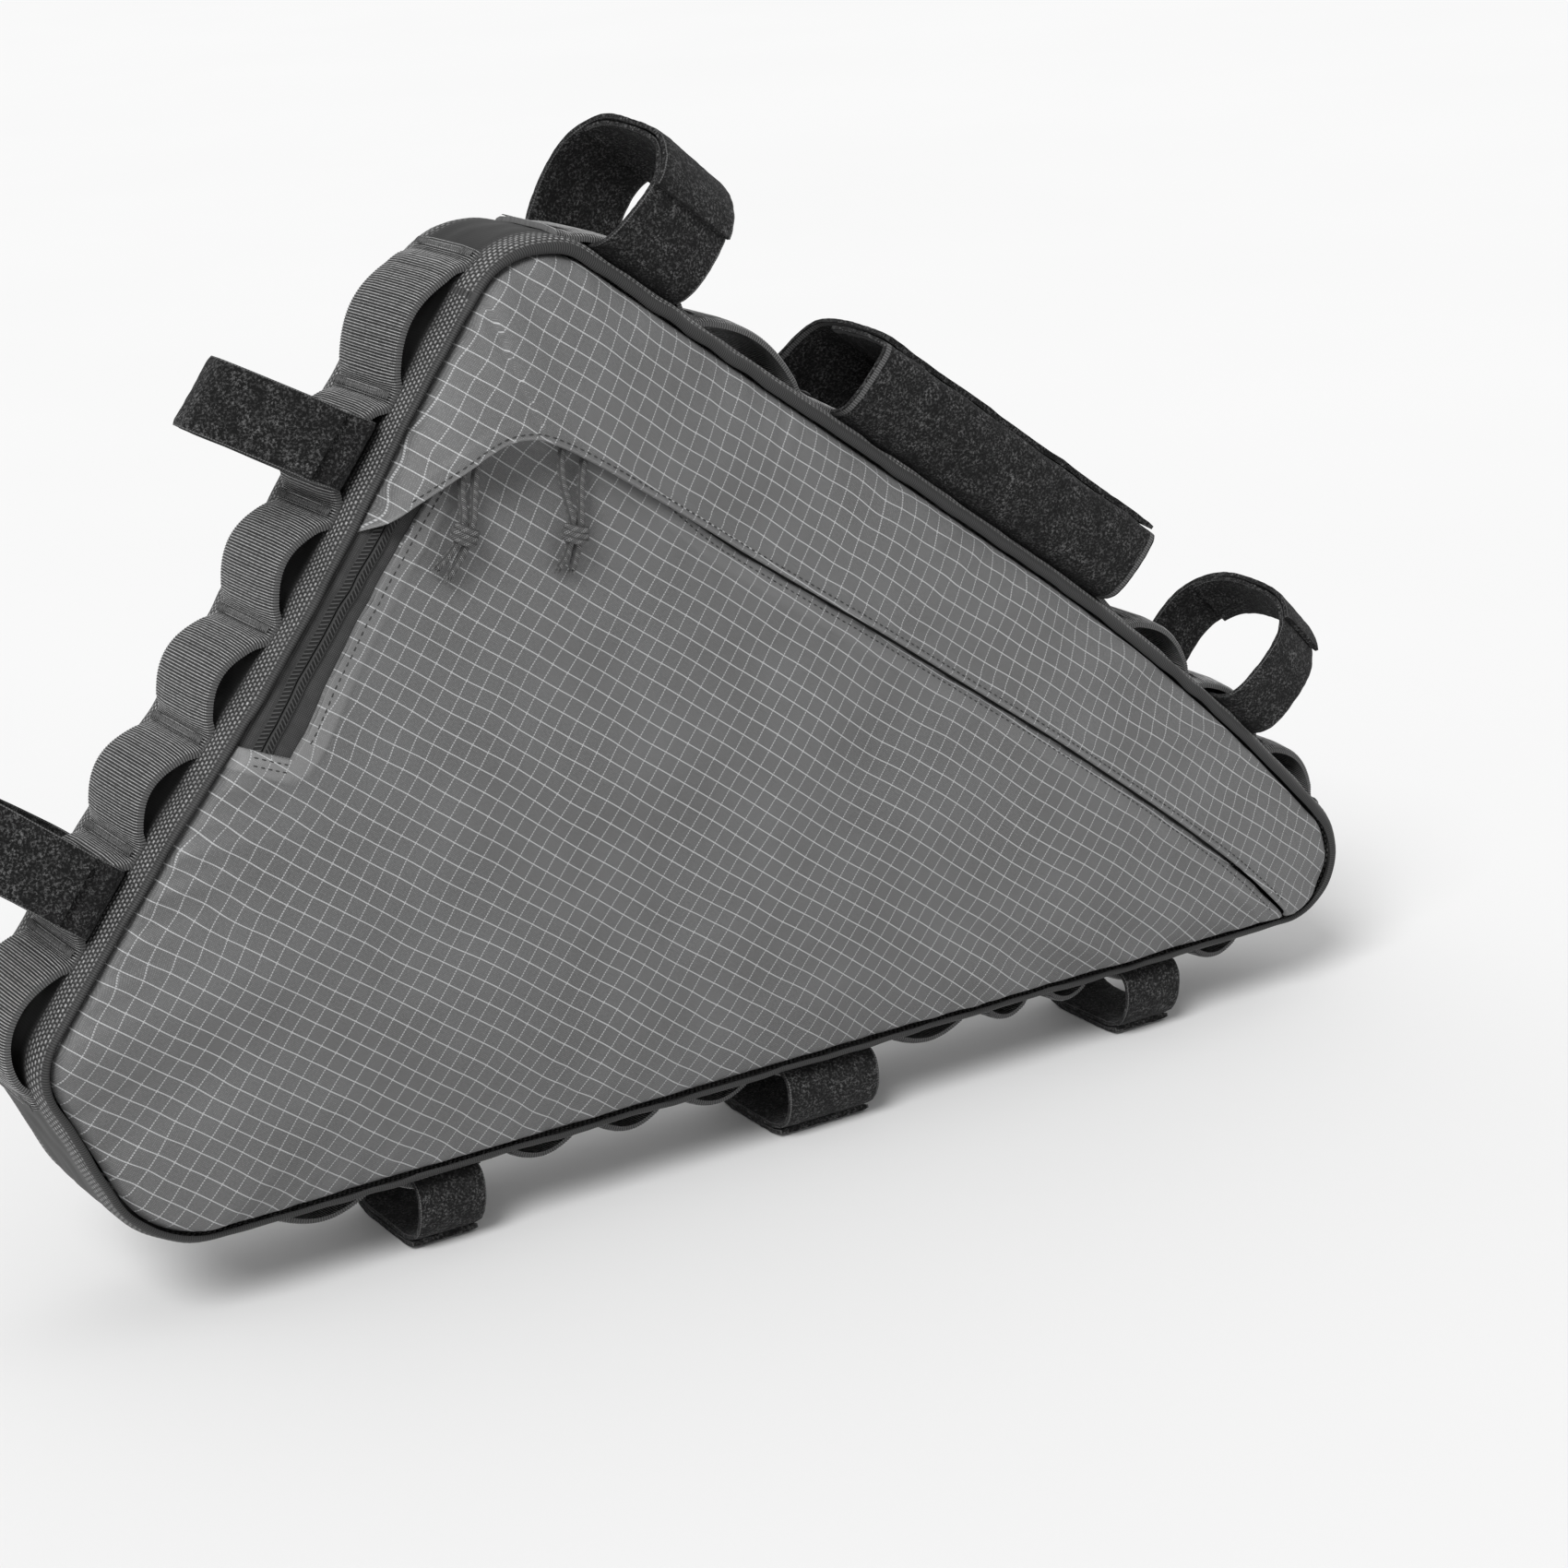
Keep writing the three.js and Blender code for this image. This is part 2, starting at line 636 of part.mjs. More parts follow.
function addSlider(name, share) {
  const line = new THREE.CatmullRomCurve3(
    scaled(COIL_LINE).map((row) => new THREE.Vector3(row.along, 0, row.up)), false, 'centripetal');
  const length = line.getLength();
  const steps = 2;
  const grid = (height) => {
    const rows = [];
    for (let i = 0; i <= steps; i += 1) {
      const way = share + ((i / steps - 0.5) * SLIDER_LENGTH) / length;
      const place = line.getPointAt(way);
      const tangent = line.getTangentAt(way);
      rows.push([-0.5, 0.5].map((side) => frontPoint(
        place.x + tangent.z * side * SLIDER_WIDTH, place.z - tangent.x * side * SLIDER_WIDTH, height)));
    }
    return rows;
  };
  addMesh(name, sheetGeometry(grid(sliderBottom + SLIDER_HEIGHT), grid(sliderBottom)), METAL);
}

// Pull cords: each strand is a tube of eight sides, and a knot is a ring wound round both strands

function addPull(pull) {
  const sides = 8;
  const section = new THREE.Shape();
  for (let k = 0; k < sides; k += 1) {
    const angle = (2 * Math.PI * k) / sides;
    const x = (CORD_DIAMETER / 2) * Math.cos(angle);
    const y = (CORD_DIAMETER / 2) * Math.sin(angle);
    if (k === 0) section.moveTo(x, y);
    else section.lineTo(x, y);
  }
  section.closePath();
  const routes = ['left', 'right'].map((side) => {
    const points = pull[side].map((row) => frontPoint(...row));
    const route = new THREE.CatmullRomCurve3(points, false, 'centripetal');
    const steps = Math.ceil(route.getLength() / (1.5 * CORD_DIAMETER));
    const tube = new THREE.ExtrudeGeometry(section, { steps, extrudePath: route, bevelEnabled: false });
    tube.deleteAttribute('uv');
    addMesh(`pull_cord_${pull.name}_${side}`, tube, CORD);
    return points;
  });
  const tied = Math.ceil(pull.left.length / 2);
  const middle = (k) => routes[0][k].clone().add(routes[1][k]).divideScalar(2);
  const centre = middle(tied);
  const axis = middle(tied + 1).sub(middle(tied - 1)).normalize();
  const hole = CORD_DIAMETER + KNOT_CLEARANCE;
  const half = KNOT_HEIGHT / 2;
  const profile = [
    [hole, -half * 0.8], [KNOT_DIAMETER / 2, -half], [KNOT_DIAMETER / 2, half], [hole, half * 0.8],
    [hole, -half * 0.8],
  ].map(([x, y]) => new THREE.Vector2(x, y));
  const knot = new THREE.LatheGeometry(profile, 10);
  knot.applyQuaternion(new THREE.Quaternion().setFromUnitVectors(new THREE.Vector3(0, 1, 0), axis));
  knot.translate(centre.x, centre.y, centre.z);
  addMesh(`pull_knot_${pull.name}`, knot, CORD);
}

// Webbing: laid along the gusset, tacked down in places and arched between them

function onEdge(place, out, y, beside = 0) {
  const { normal } = place;
  return new THREE.Vector3(
    place.along + normal.along * out + normal.up * beside, y,
    place.up + normal.up * out - normal.along * beside);
}

// Carries the line one thickness out, square to the way it runs
function thicken(line, thickness) {
  return line.map((point, i) => {
    const before = line[Math.max(i - 1, 0)];
    const after = line[Math.min(i + 1, line.length - 1)];
    const first = point.clone().sub(before).normalize();
    const second = after.clone().sub(point).normalize();
    const way = first.clone().add(second).normalize();
    const mitre = thickness / Math.max(way.dot(second) || way.dot(first), 0.5);
    return new THREE.Vector3(point.x - way.z * mitre, point.y, point.z + way.x * mitre);
  });
}

function addWebbing(web) {
  const run = runOf[web.edge];
  const direction = web.edge === 'top' ? 1 : -1;
  const tacks = web.tacks.map((share) => share * run);
  const half = TACK_LENGTH / 2;
  const line = [];
  const put = (distance, height) => {
    const place = seamAt(wayOn[web.edge](distance));
    line.push(onEdge(place, place.rise + SEAM_GAP + height, 0));
  };
  tacks.forEach((tack, i) => {
    put(tack - half, 0);
    put(tack + half, 0);
    if (i + 1 === tacks.length) return;
    const span = tacks[i + 1] - tack - TACK_LENGTH;
    const fullness = span / SPAN_OF_ROUND_ARCH + 1;
    for (let k = 1; k < ARCH_STEPS; k += 1) {
      const share = k / ARCH_STEPS;
      const rise = 1 - Math.abs(2 * share - 1) ** fullness;
      put(tack + half + span * share, web.arch * rise);
    }
  });
  if (direction < 0) line.reverse();
  const outer = thicken(line, WEB_THICKNESS);
  const grid = (list) => list.map((point) => [-1, 1].map(
    (side) => new THREE.Vector3(point.x, (side * WEB_WIDTH) / 2, point.z)));
  addMesh(web.name, sheetGeometry(grid(outer), grid(line)), WEBBING);
}

// Straps: one band that runs under the webbing, round the frame tube and over its own start

const LAP = STRAP_THICKNESS + SEAM_GAP;

function addStrap(strap) {
  const place = seamAt(wayOn[strap.edge](strap.at * runOf[strap.edge]));
  const base = place.rise + SEAM_GAP + STRAP_THICKNESS / 2;
  const halfDepth = (strap.depth - STRAP_THICKNESS) / 2 - LAP;
  const rows = [{ across: 0, out: 0 }, ...strap.form];
  const tallest = Math.max(...rows.map((row) => row.out));
  const height = (strap.height - STRAP_THICKNESS / 2 - LAP - base) / tallest;
  const loop = new THREE.CatmullRomCurve3(
    rows.map((row) => new THREE.Vector3(row.across * halfDepth, row.out * height, 0)),
    true, 'centripetal');
  const top = tallest * height;
  const pointAt = (share) => {
    const point = loop.getPointAt(((share % 1) + 1) % 1);
    return new THREE.Vector2(point.x, Math.min(Math.max(point.y, 0), top));
  };
  const steps = strap.steps;
  const turns = 1 + strap.lap_to - strap.lap_from;
  const outside = [];
  const inside = [];
  for (let k = 0; k <= steps; k += 1) {
    const share = strap.lap_to - (turns * k) / steps;
    const point = pointAt(share);
    const way = pointAt(share + LOOK_AHEAD).sub(pointAt(share - LOOK_AHEAD)).normalize();
    const lap = LAP * THREE.MathUtils.smoothstep(-share, LAP_START, 1 - strap.lap_to);
    const put = (offset) => new THREE.Vector2(point.x - way.y * offset, point.y + way.x * offset);
    outside.push(put(lap + STRAP_THICKNESS / 2));
    inside.push(put(lap - STRAP_THICKNESS / 2));
  }
  const grid = (list) => list.map((point) => [-0.5, 0.5].map((side) => {
    const angle = strap.twist * DEGREE * THREE.MathUtils.clamp(point.y / top, 0, 1);
    const beside = side * strap.width * Math.cos(angle) - point.x * Math.sin(angle);
    const y = point.x * Math.cos(angle) + side * strap.width * Math.sin(angle);
    return onEdge(place, base + point.y, y, beside - strap.droop * point.y);
  }));
  addMesh(strap.name, sheetGeometry(grid(outside), grid(inside)), HOOK_LOOP);
}

addGusset();
addBackPanel();
addFrontLower();
addFrontFlap();
addZipper();
PULLS.forEach((pull) => {
  addSlider(`zipper_slider_${pull.name}`, pull.slider);
  addPull(pull);
});
WEBBINGS.forEach(addWebbing);
STRAPS.forEach(addStrap);

// The lower edge is turned level, and the bag is set down over the origin; its box leaves out the pulls
const lowerEdge = unit(corners[3], corners[2]);
bag.rotation.y = Math.atan2(lowerEdge.up, lowerEdge.along);
const standing = new THREE.Group();
standing.add(bag);
standing.updateMatrixWorld(true);
const reach = new THREE.Box3();
bag.children.filter((mesh) => !mesh.name.startsWith('pull_')).forEach((mesh) => {
  reach.expandByObject(mesh, true);
});
const middle = reach.getCenter(new THREE.Vector3());
standing.position.set(-middle.x, -middle.y, -reach.min.z);

export default standing;
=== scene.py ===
import math
import bpy
import numpy as np
from mathutils import Matrix, Vector

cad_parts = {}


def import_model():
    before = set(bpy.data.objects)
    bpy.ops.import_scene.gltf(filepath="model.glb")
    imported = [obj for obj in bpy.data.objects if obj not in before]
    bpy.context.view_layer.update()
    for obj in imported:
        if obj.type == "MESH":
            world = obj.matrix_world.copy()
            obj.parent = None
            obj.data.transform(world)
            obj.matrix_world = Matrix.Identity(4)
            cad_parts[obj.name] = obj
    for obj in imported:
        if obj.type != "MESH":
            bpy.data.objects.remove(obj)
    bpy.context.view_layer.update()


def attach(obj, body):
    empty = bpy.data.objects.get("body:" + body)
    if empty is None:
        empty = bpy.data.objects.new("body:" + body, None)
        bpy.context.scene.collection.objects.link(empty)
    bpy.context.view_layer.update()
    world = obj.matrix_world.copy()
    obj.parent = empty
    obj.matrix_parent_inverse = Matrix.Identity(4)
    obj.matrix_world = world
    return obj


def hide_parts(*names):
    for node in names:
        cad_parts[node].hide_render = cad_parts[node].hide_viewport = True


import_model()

# Bag coordinates are (along, y, up) in millimetres: along follows the top edge forward, up is square to
# it, minus y is the front. world() turns them into the row frame, in metres.
LEVEL = math.radians(37.9606413)
SHIFT = np.array([-63.84150, 3.42620, 343.27140])
TOP_RUN, SEAT_RUN, GUSSET_DEPTH = 472.0, 344.0, 60.0
CLOTH, SEAM_GAP = 1.5, 0.35
FRONT_BULGE, BACK_BULGE, DOME_FALL, DOME_ROUND = 15.0, 12.0, 2.5, 0.6
CELL, RIB_PITCH, SELVEDGE = 6.0, 0.95, 20.5
GUSSET_GIRTH, BINDING = 67.0, 3.4
FINE_GATHER, BROAD_GATHER, SLACK_WAVES = 1.15, 2.4, 1.35
CREASE, CREASE_WIDTH = 2.4, 1.8
FRONT_SEED, BACK_SEED, FRONT_GRID_SEED, BACK_GRID_SEED = 31, 53, 500, 540


def turn(v):
    v = np.asarray(v, float)
    c, s = math.cos(LEVEL), math.sin(LEVEL)
    return np.stack([v[..., 0] * c + v[..., 2] * s, v[..., 1], v[..., 2] * c - v[..., 0] * s], -1)


def world(p):
    return (turn(p) + SHIFT) * 0.001


# Camera: place and axes (right, down, forward) in bag coordinates

LENS, SENSOR, CLIP = 82.6, 36.0, (0.05, 40.0)
EYE = (-529.5, -1043.0, -181.4)
EYE_AXES = [(0.6991, -0.5328, 0.4769), (0.4175, -0.2373, -0.8771), (0.5805, 0.8123, 0.0566)]


def add_camera():
    data = bpy.data.cameras.new("camera")
    data.lens, data.sensor_width = LENS, SENSOR
    data.clip_start, data.clip_end = CLIP
    camera = bpy.data.objects.new("camera", data)
    bpy.context.scene.collection.objects.link(camera)
    right, down, forward = (turn(axis) for axis in EYE_AXES)
    eye = world(EYE)
    rows = [[right[i], -down[i], -forward[i], eye[i]] for i in range(3)]
    camera.matrix_world = Matrix([*rows, [0, 0, 0, 1]])
    bpy.context.scene.camera = camera


add_camera()

# Curves and noise

def catmull(points, samples, closed=False):
    """Centripetal Catmull-Rom line through points, at that many equal steps of its length."""
    p = np.asarray(points, float)
    n = len(p)
    if closed:
        q = np.vstack([p[-1:], p, p[:2]])
    else:
        q = np.vstack([2 * p[:1] - p[1:2], p, 2 * p[-1:] - p[-2:-1]])
    line = []
    t = np.linspace(0, 1, 25)[:-1][:, None]
    for i in range(n if closed else n - 1):
        a, b, c, d = q[i], q[i + 1], q[i + 2], q[i + 3]
        ta, tb, tc = [max(np.linalg.norm(v) ** 0.5, 1e-6) for v in (b - a, c - b, d - c)]
        m1 = tb * ((b - a) / ta - (c - a) / (ta + tb) + (c - b) / tb)
        m2 = tb * ((c - b) / tb - (d - b) / (tb + tc) + (d - c) / tc)
        line.append(b + m1 * t + (3 * (c - b) - 2 * m1 - m2) * t ** 2 + (2 * (b - c) + m1 + m2) * t ** 3)
    line.append(p[:1] if closed else p[-1:])
    return resample(np.vstack(line), samples)


def run_of(line):
    """Length of a line up to each of its points."""
    return np.concatenate([[0], np.cumsum(np.linalg.norm(np.diff(line, axis=0), axis=1))])


def resample(line, samples):
    way = run_of(line)
    at = np.linspace(0, way[-1], samples)
    return np.stack([np.interp(at, way, line[:, k]) for k in range(line.shape[1])], -1)


def heading(line):
    way = np.gradient(line, axis=0)
    return way / np.linalg.norm(way, axis=1)[:, None]


def beside(line, offset):
    """A flat line moved to its right, seen from the front."""
    way = heading(line)
    return line + np.stack([way[:, 1], -way[:, 0]], -1) * offset


def length_of(line):
    return float(np.linalg.norm(np.diff(line, axis=0), axis=1).sum())


def ease(x, low, high):
    t = np.clip((np.asarray(x, float) - low) / (high - low), 0, 1)
    return t * t * (3 - 2 * t)


def noise1(x, step, seed):
    """Smooth noise of one variable, from -1 to 1."""
    values = np.random.default_rng(seed).uniform(-1, 1, 4096)
    k = np.asarray(x, float) / step + 700
    i = np.floor(k).astype(int)
    t = ease(k - i, 0, 1)
    return values[i % 4096] * (1 - t) + values[(i + 1) % 4096] * t


def noise2(x, z, step, seed):
    values = np.random.default_rng(seed).uniform(-1, 1, (256, 256))
    kx, kz = np.asarray(x, float) / step + 90, np.asarray(z, float) / step + 90
    i, j = np.floor(kx).astype(int), np.floor(kz).astype(int)
    tx, tz = ease(kx - i, 0, 1), ease(kz - j, 0, 1)
    i, j = i % 255, j % 255
    low = values[i, j] * (1 - tx) + values[i + 1, j] * tx
    high = values[i, j + 1] * (1 - tx) + values[i + 1, j + 1] * tx
    return low * (1 - tz) + high * tz


# Seam: the closed outline in which the panels meet the gusset, clockwise seen from the front

CORNERS = {  # along and up as shares of the runs, radius, rise of the gusset on the edge that follows
    "seat_top": (0, 0, 28, 6.5),
    "crest": (0.695, 0, 900, 6.5),
    "nose": (1, -0.0735, 22, 4.5),
    "heel": (0.1345, -1, 36, 4.5),
    "seat_foot": (-0.0042, -0.897, 20, 4.3),
}
SEAT_BOW, BOW_AT, BOW_SPREAD = 4.1, 0.44, 0.182


def trace_seam():
    rows = [(np.array([a * TOP_RUN, u * SEAT_RUN]), r, rise) for a, u, r, rise in CORNERS.values()]
    marks, out, way, last = {}, [], 0.0, None
    for i, name in enumerate(CORNERS):
        corner, radius, rise = rows[i]
        before, after = rows[i - 1], rows[(i + 1) % len(rows)]
        d0 = (corner - before[0]) / np.linalg.norm(corner - before[0])
        d1 = (after[0] - corner) / np.linalg.norm(after[0] - corner)
        bend = math.acos(np.clip(d0 @ d1, -1, 1))
        tangent = radius * math.tan(bend / 2)
        n = np.array([-d0[1], d0[0]])
        start = corner - d0 * tangent
        centre = start - n * radius
        if last is not None:
            way += np.linalg.norm(start - last)
        marks[name] = (way, way + radius * bend, tangent)
        for k in range(25):
            t = k / 24
            ca, sa = math.cos(-bend * t), math.sin(-bend * t)
            m = np.array([n[0] * ca - n[1] * sa, n[0] * sa + n[1] * ca])
            lift = before[2] + (rise - before[2]) * t
            out.append([*(centre + m * radius), *m, lift, way + radius * bend * t])
        way += radius * bend
        last = np.array(out[-1][:2])
    total = way + np.linalg.norm(last - np.array(out[0][:2]))
    return np.array(out), marks, total


SEAM, MARKS, SEAM_LENGTH = trace_seam()


def seam_at(way, bowed=True):
    """Place, outward normal and gusset rise on the seam; the zipper draws the seat edge inward."""
    w = np.mod(way, SEAM_LENGTH)
    table = np.vstack([SEAM, SEAM[:1]])
    table[-1, 5] = SEAM_LENGTH
    got = [np.interp(w, table[:, 5], table[:, k]) for k in range(5)]
    size = np.hypot(got[2], got[3])
    na, nu = got[2] / size, got[3] / size
    share = (SEAM_LENGTH - w + MARKS["seat_top"][2]) / SEAT_RUN
    bow = SEAT_BOW * np.exp(-((share - BOW_AT) / BOW_SPREAD) ** 2) * (w > MARKS["seat_foot"][1]) * bowed
    return got[0] - na * bow, got[1] - nu * bow, na, nu, got[4]


def way_on(edge, distance):
    if edge == "top":
        return MARKS["seat_top"][1] + distance - MARKS["seat_top"][2]
    if edge == "seat":
        return SEAM_LENGTH - distance + MARKS["seat_top"][2]
    return MARKS["heel"][0] - distance + MARKS["heel"][2]


CORNER = {k: np.array([v[0] * TOP_RUN, v[1] * SEAT_RUN]) for k, v in CORNERS.items()}
DOWN_RUN = float(np.linalg.norm(CORNER["nose"] - CORNER["heel"]))
RUN = {"top": TOP_RUN, "seat": SEAT_RUN, "down": DOWN_RUN}


def find_crown():
    down = (CORNER["nose"] - CORNER["heel"]) / DOWN_RUN
    low, high = 0.0, SEAT_RUN
    for _ in range(40):
        r = (low + high) / 2
        toward = np.array([r, -r]) - CORNER["heel"]
        if down[0] * toward[1] - down[1] * toward[0] > r:
            low = r
        else:
            high = r
    return np.array([low, -low])


CROWN = find_crown()
_w = np.arange(0, SEAM_LENGTH, 1.0)
_a, _u = seam_at(_w)[:2]
_turn = np.unwrap(np.arctan2(_u - CROWN[1], _a - CROWN[0]))
_far = np.hypot(_a - CROWN[0], _u - CROWN[1])
_order = np.argsort(np.mod(_turn, 2 * np.pi))
_turn, _far, _w = np.mod(_turn, 2 * np.pi)[_order], _far[_order], _w[_order]


def polar(along, up):
    """Share of the way from the crown to the seam, distance to it that way, and the place on the seam."""
    da, du = along - CROWN[0], up - CROWN[1]
    angle = np.mod(np.arctan2(du, da), 2 * np.pi)
    far = np.interp(angle, _turn, _far, period=2 * np.pi)
    x = np.interp(angle, _turn, np.cos(_w / SEAM_LENGTH * 2 * np.pi), period=2 * np.pi)
    z = np.interp(angle, _turn, np.sin(_w / SEAM_LENGTH * 2 * np.pi), period=2 * np.pi)
    way = np.mod(np.arctan2(z, x), 2 * np.pi) / (2 * np.pi) * SEAM_LENGTH
    near = np.hypot(da, du)
    return np.minimum(near / far, 1), far - near, way


def dome(along, up, bulge):
    return bulge * (1 - polar(along, up)[0] ** DOME_FALL) ** DOME_ROUND


def puckers(along, up, seed):
    """Gathers square to the seam, which fade towards the middle, and slack waves all over."""
    _, away, way = polar(along, up)
    fade = np.exp(-away / 16.0) * (1 - np.exp(-away / 2.5))
    long_fade = np.exp(-away / 40.0) * (1 - np.exp(-away / 8.0))
    fine = noise1(way, 8.5, seed) + 0.6 * noise1(way + 4, 5.0, seed + 1)
    broad = noise1(way, 27.0, seed + 2)
    waves = 1.1 * noise2(along, up, 46, seed + 3) + 0.45 * noise2(along, up, 21, seed + 4)
    calm = 1 - np.exp(-away / 22.0)
    return FINE_GATHER * fine * fade + BROAD_GATHER * broad * long_fade + SLACK_WAVES * waves * calm


def sink(along, up):
    """How far a panel's edge lies down in the crease along the seam."""
    return CREASE * np.exp(-(polar(along, up)[1] / CREASE_WIDTH) ** 2)


def front_point(along, up, height):
    """Points at a height over the front panel's puckered dome."""
    y = -GUSSET_DEPTH / 2 - dome(along, up, FRONT_BULGE) - height - puckers(along, up, FRONT_SEED)
    return np.stack([along, y, up], -1)


def drawn(spot, seed):
    """Flat cloth coordinates of points of a panel: near the seam the gathers pull the grid askew."""
    along, up = spot[..., 0], spot[..., 1]
    _, away, way = polar(along, up)
    pull = np.exp(-away / 30.0)
    shift = pull * (1.5 * noise1(way, 19.0, seed + 7) + 0.8 * noise1(way, 9.0, seed + 8))
    du = 0.9 * noise2(along, up, 38, seed + 9) + 0.35 * noise2(along, up, 15, seed + 10) + shift
    dv = 0.9 * noise2(along, up, 41, seed + 11) + 0.35 * noise2(along, up, 14, seed + 12) + 0.6 * shift
    return spot + np.stack([du, dv], -1)


# Meshes

def new_object(name, verts, faces, material, uv=None, sharp=38):
    mesh = bpy.data.meshes.new(name)
    mesh.from_pydata(verts.tolist(), [], faces if isinstance(faces, list) else faces.tolist())
    mesh.update()
    if uv is not None:
        layer = mesh.uv_layers.new(name="flat")
        index = np.empty(len(mesh.loops), dtype=np.int32)
        mesh.loops.foreach_get("vertex_index", index)
        layer.data.foreach_set("uv", np.asarray(uv, np.float32)[index].ravel())
    mesh.shade_smooth()
    mesh.set_sharp_from_angle(angle=math.radians(sharp))
    mesh.materials.append(material)
    obj = bpy.data.objects.new(name, mesh)
    bpy.context.scene.collection.objects.link(obj)
    return obj


def volume_of(verts, faces):
    a, b, c, d = (verts[faces[:, k]] for k in range(4))
    return np.einsum("ij,ij->", a, np.cross(b, c)) + np.einsum("ij,ij->", a, np.cross(c, d))


def grid(down, across):
    return np.stack(np.broadcast_arrays(down[:, None], across[None]), -1)


def shell(name, outer, inner, uv, material, sharp=50, ring=False):
    """A sheet between two grids of points in bag coordinates, closed along its first way round if ring."""
    n, m = outer.shape[:2]
    verts = world(np.concatenate([outer.reshape(-1, 3), inner.reshape(-1, 3)]))
    at = np.arange(n * m).reshape(n, m)
    if ring:
        at = np.vstack([at, at[:1]])
    low = at + n * m
    a = np.stack([at[:-1, :-1], at[1:, :-1], at[1:, 1:], at[:-1, 1:]], -1).reshape(-1, 4)
    b = np.stack([low[:-1, :-1], low[:-1, 1:], low[1:, 1:], low[1:, :-1]], -1).reshape(-1, 4)
    c = np.stack([at[:-1, 0], low[:-1, 0], low[1:, 0], at[1:, 0]], -1)
    d = np.stack([at[:-1, -1], at[1:, -1], low[1:, -1], low[:-1, -1]], -1)
    parts = [a, b, c, d]
    if not ring:
        parts.append(np.stack([at[0, :-1], at[0, 1:], low[0, 1:], low[0, :-1]], -1))
        parts.append(np.stack([at[-1, :-1], low[-1, :-1], low[-1, 1:], at[-1, 1:]], -1))
    faces = np.concatenate(parts)
    if volume_of(verts, faces) < 0:
        faces = faces[:, ::-1]
    flat = uv.reshape(-1, 2)
    return new_object(name, verts, faces, material, np.concatenate([flat, flat]), sharp)


def loft(n, m):
    """Faces between n rings of m points, and the two that close the ends."""
    at = np.arange(n * m).reshape(n, m)
    nxt = np.roll(at, -1, axis=1)
    quads = np.stack([at[:-1], nxt[:-1], nxt[1:], at[1:]], -1).reshape(-1, 4)
    return quads, np.stack([at[0][::-1], at[-1]])


def tube(name, path, radius, sides, material):
    """A round tube along a path in bag coordinates; radius may change along it."""
    n = len(path)
    radius = np.broadcast_to(np.asarray(radius, float), (n,)).copy()
    tangent = heading(path)
    side = np.cross(tangent[0], [0.3, -0.9, 0.2])
    side /= np.linalg.norm(side)
    rings = []
    for i in range(n):
        side = side - tangent[i] * (side @ tangent[i])
        side /= np.linalg.norm(side)
        other = np.cross(tangent[i], side)
        a = np.linspace(0, 2 * np.pi, sides, endpoint=False)
        ring = np.cos(a)[:, None] * side + np.sin(a)[:, None] * other
        rings.append(path[i] + radius[i] * ring)
    verts = world(np.array(rings).reshape(-1, 3))
    quads, caps = loft(n, sides)
    uv = np.stack([np.tile(np.arange(sides) / sides, n), np.repeat(run_of(path), sides)], -1)
    return new_object(name, verts, quads.tolist() + caps.tolist(), material, uv, 60)


def threads(name, starts, ends, normals, radius, material):
    """Short stitches: spindles from starts to ends that bow up along the normals."""
    starts, ends, normals = (np.asarray(v, float) for v in (starts, ends, normals))
    n, sides = len(starts), 6
    profile = [(0.0, 0.35, -0.35), (0.18, 0.9, 0.15), (0.5, 1.0, 0.4), (0.82, 0.9, 0.15),
               (1.0, 0.35, -0.35)]
    way = ends - starts
    size = np.linalg.norm(way, axis=1)[:, None]
    way = way / size
    side = np.cross(way, normals)
    side /= np.linalg.norm(side, axis=1)[:, None]
    up = np.cross(side, way)
    rings = []
    for t, r, h in profile:
        for k in range(sides):
            a = 2 * math.pi * k / sides
            rings.append(starts + way * size * t + side * radius * r * math.cos(a)
                         + up * (radius * r * math.sin(a) + radius * h))
    verts = np.stack(rings, 1).reshape(-1, 3)
    base = (np.arange(n) * len(profile) * sides)[:, None, None]
    quads, caps = (faces[None] + base for faces in loft(len(profile), sides))
    faces = quads.reshape(-1, 4).tolist() + caps.reshape(-1, sides).tolist()
    return new_object(name, world(verts), faces, material, None, 80)


def place(obj, slot, *nodes):
    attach(obj, "root")
    if nodes:
        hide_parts(*nodes)
    return obj


# Materials

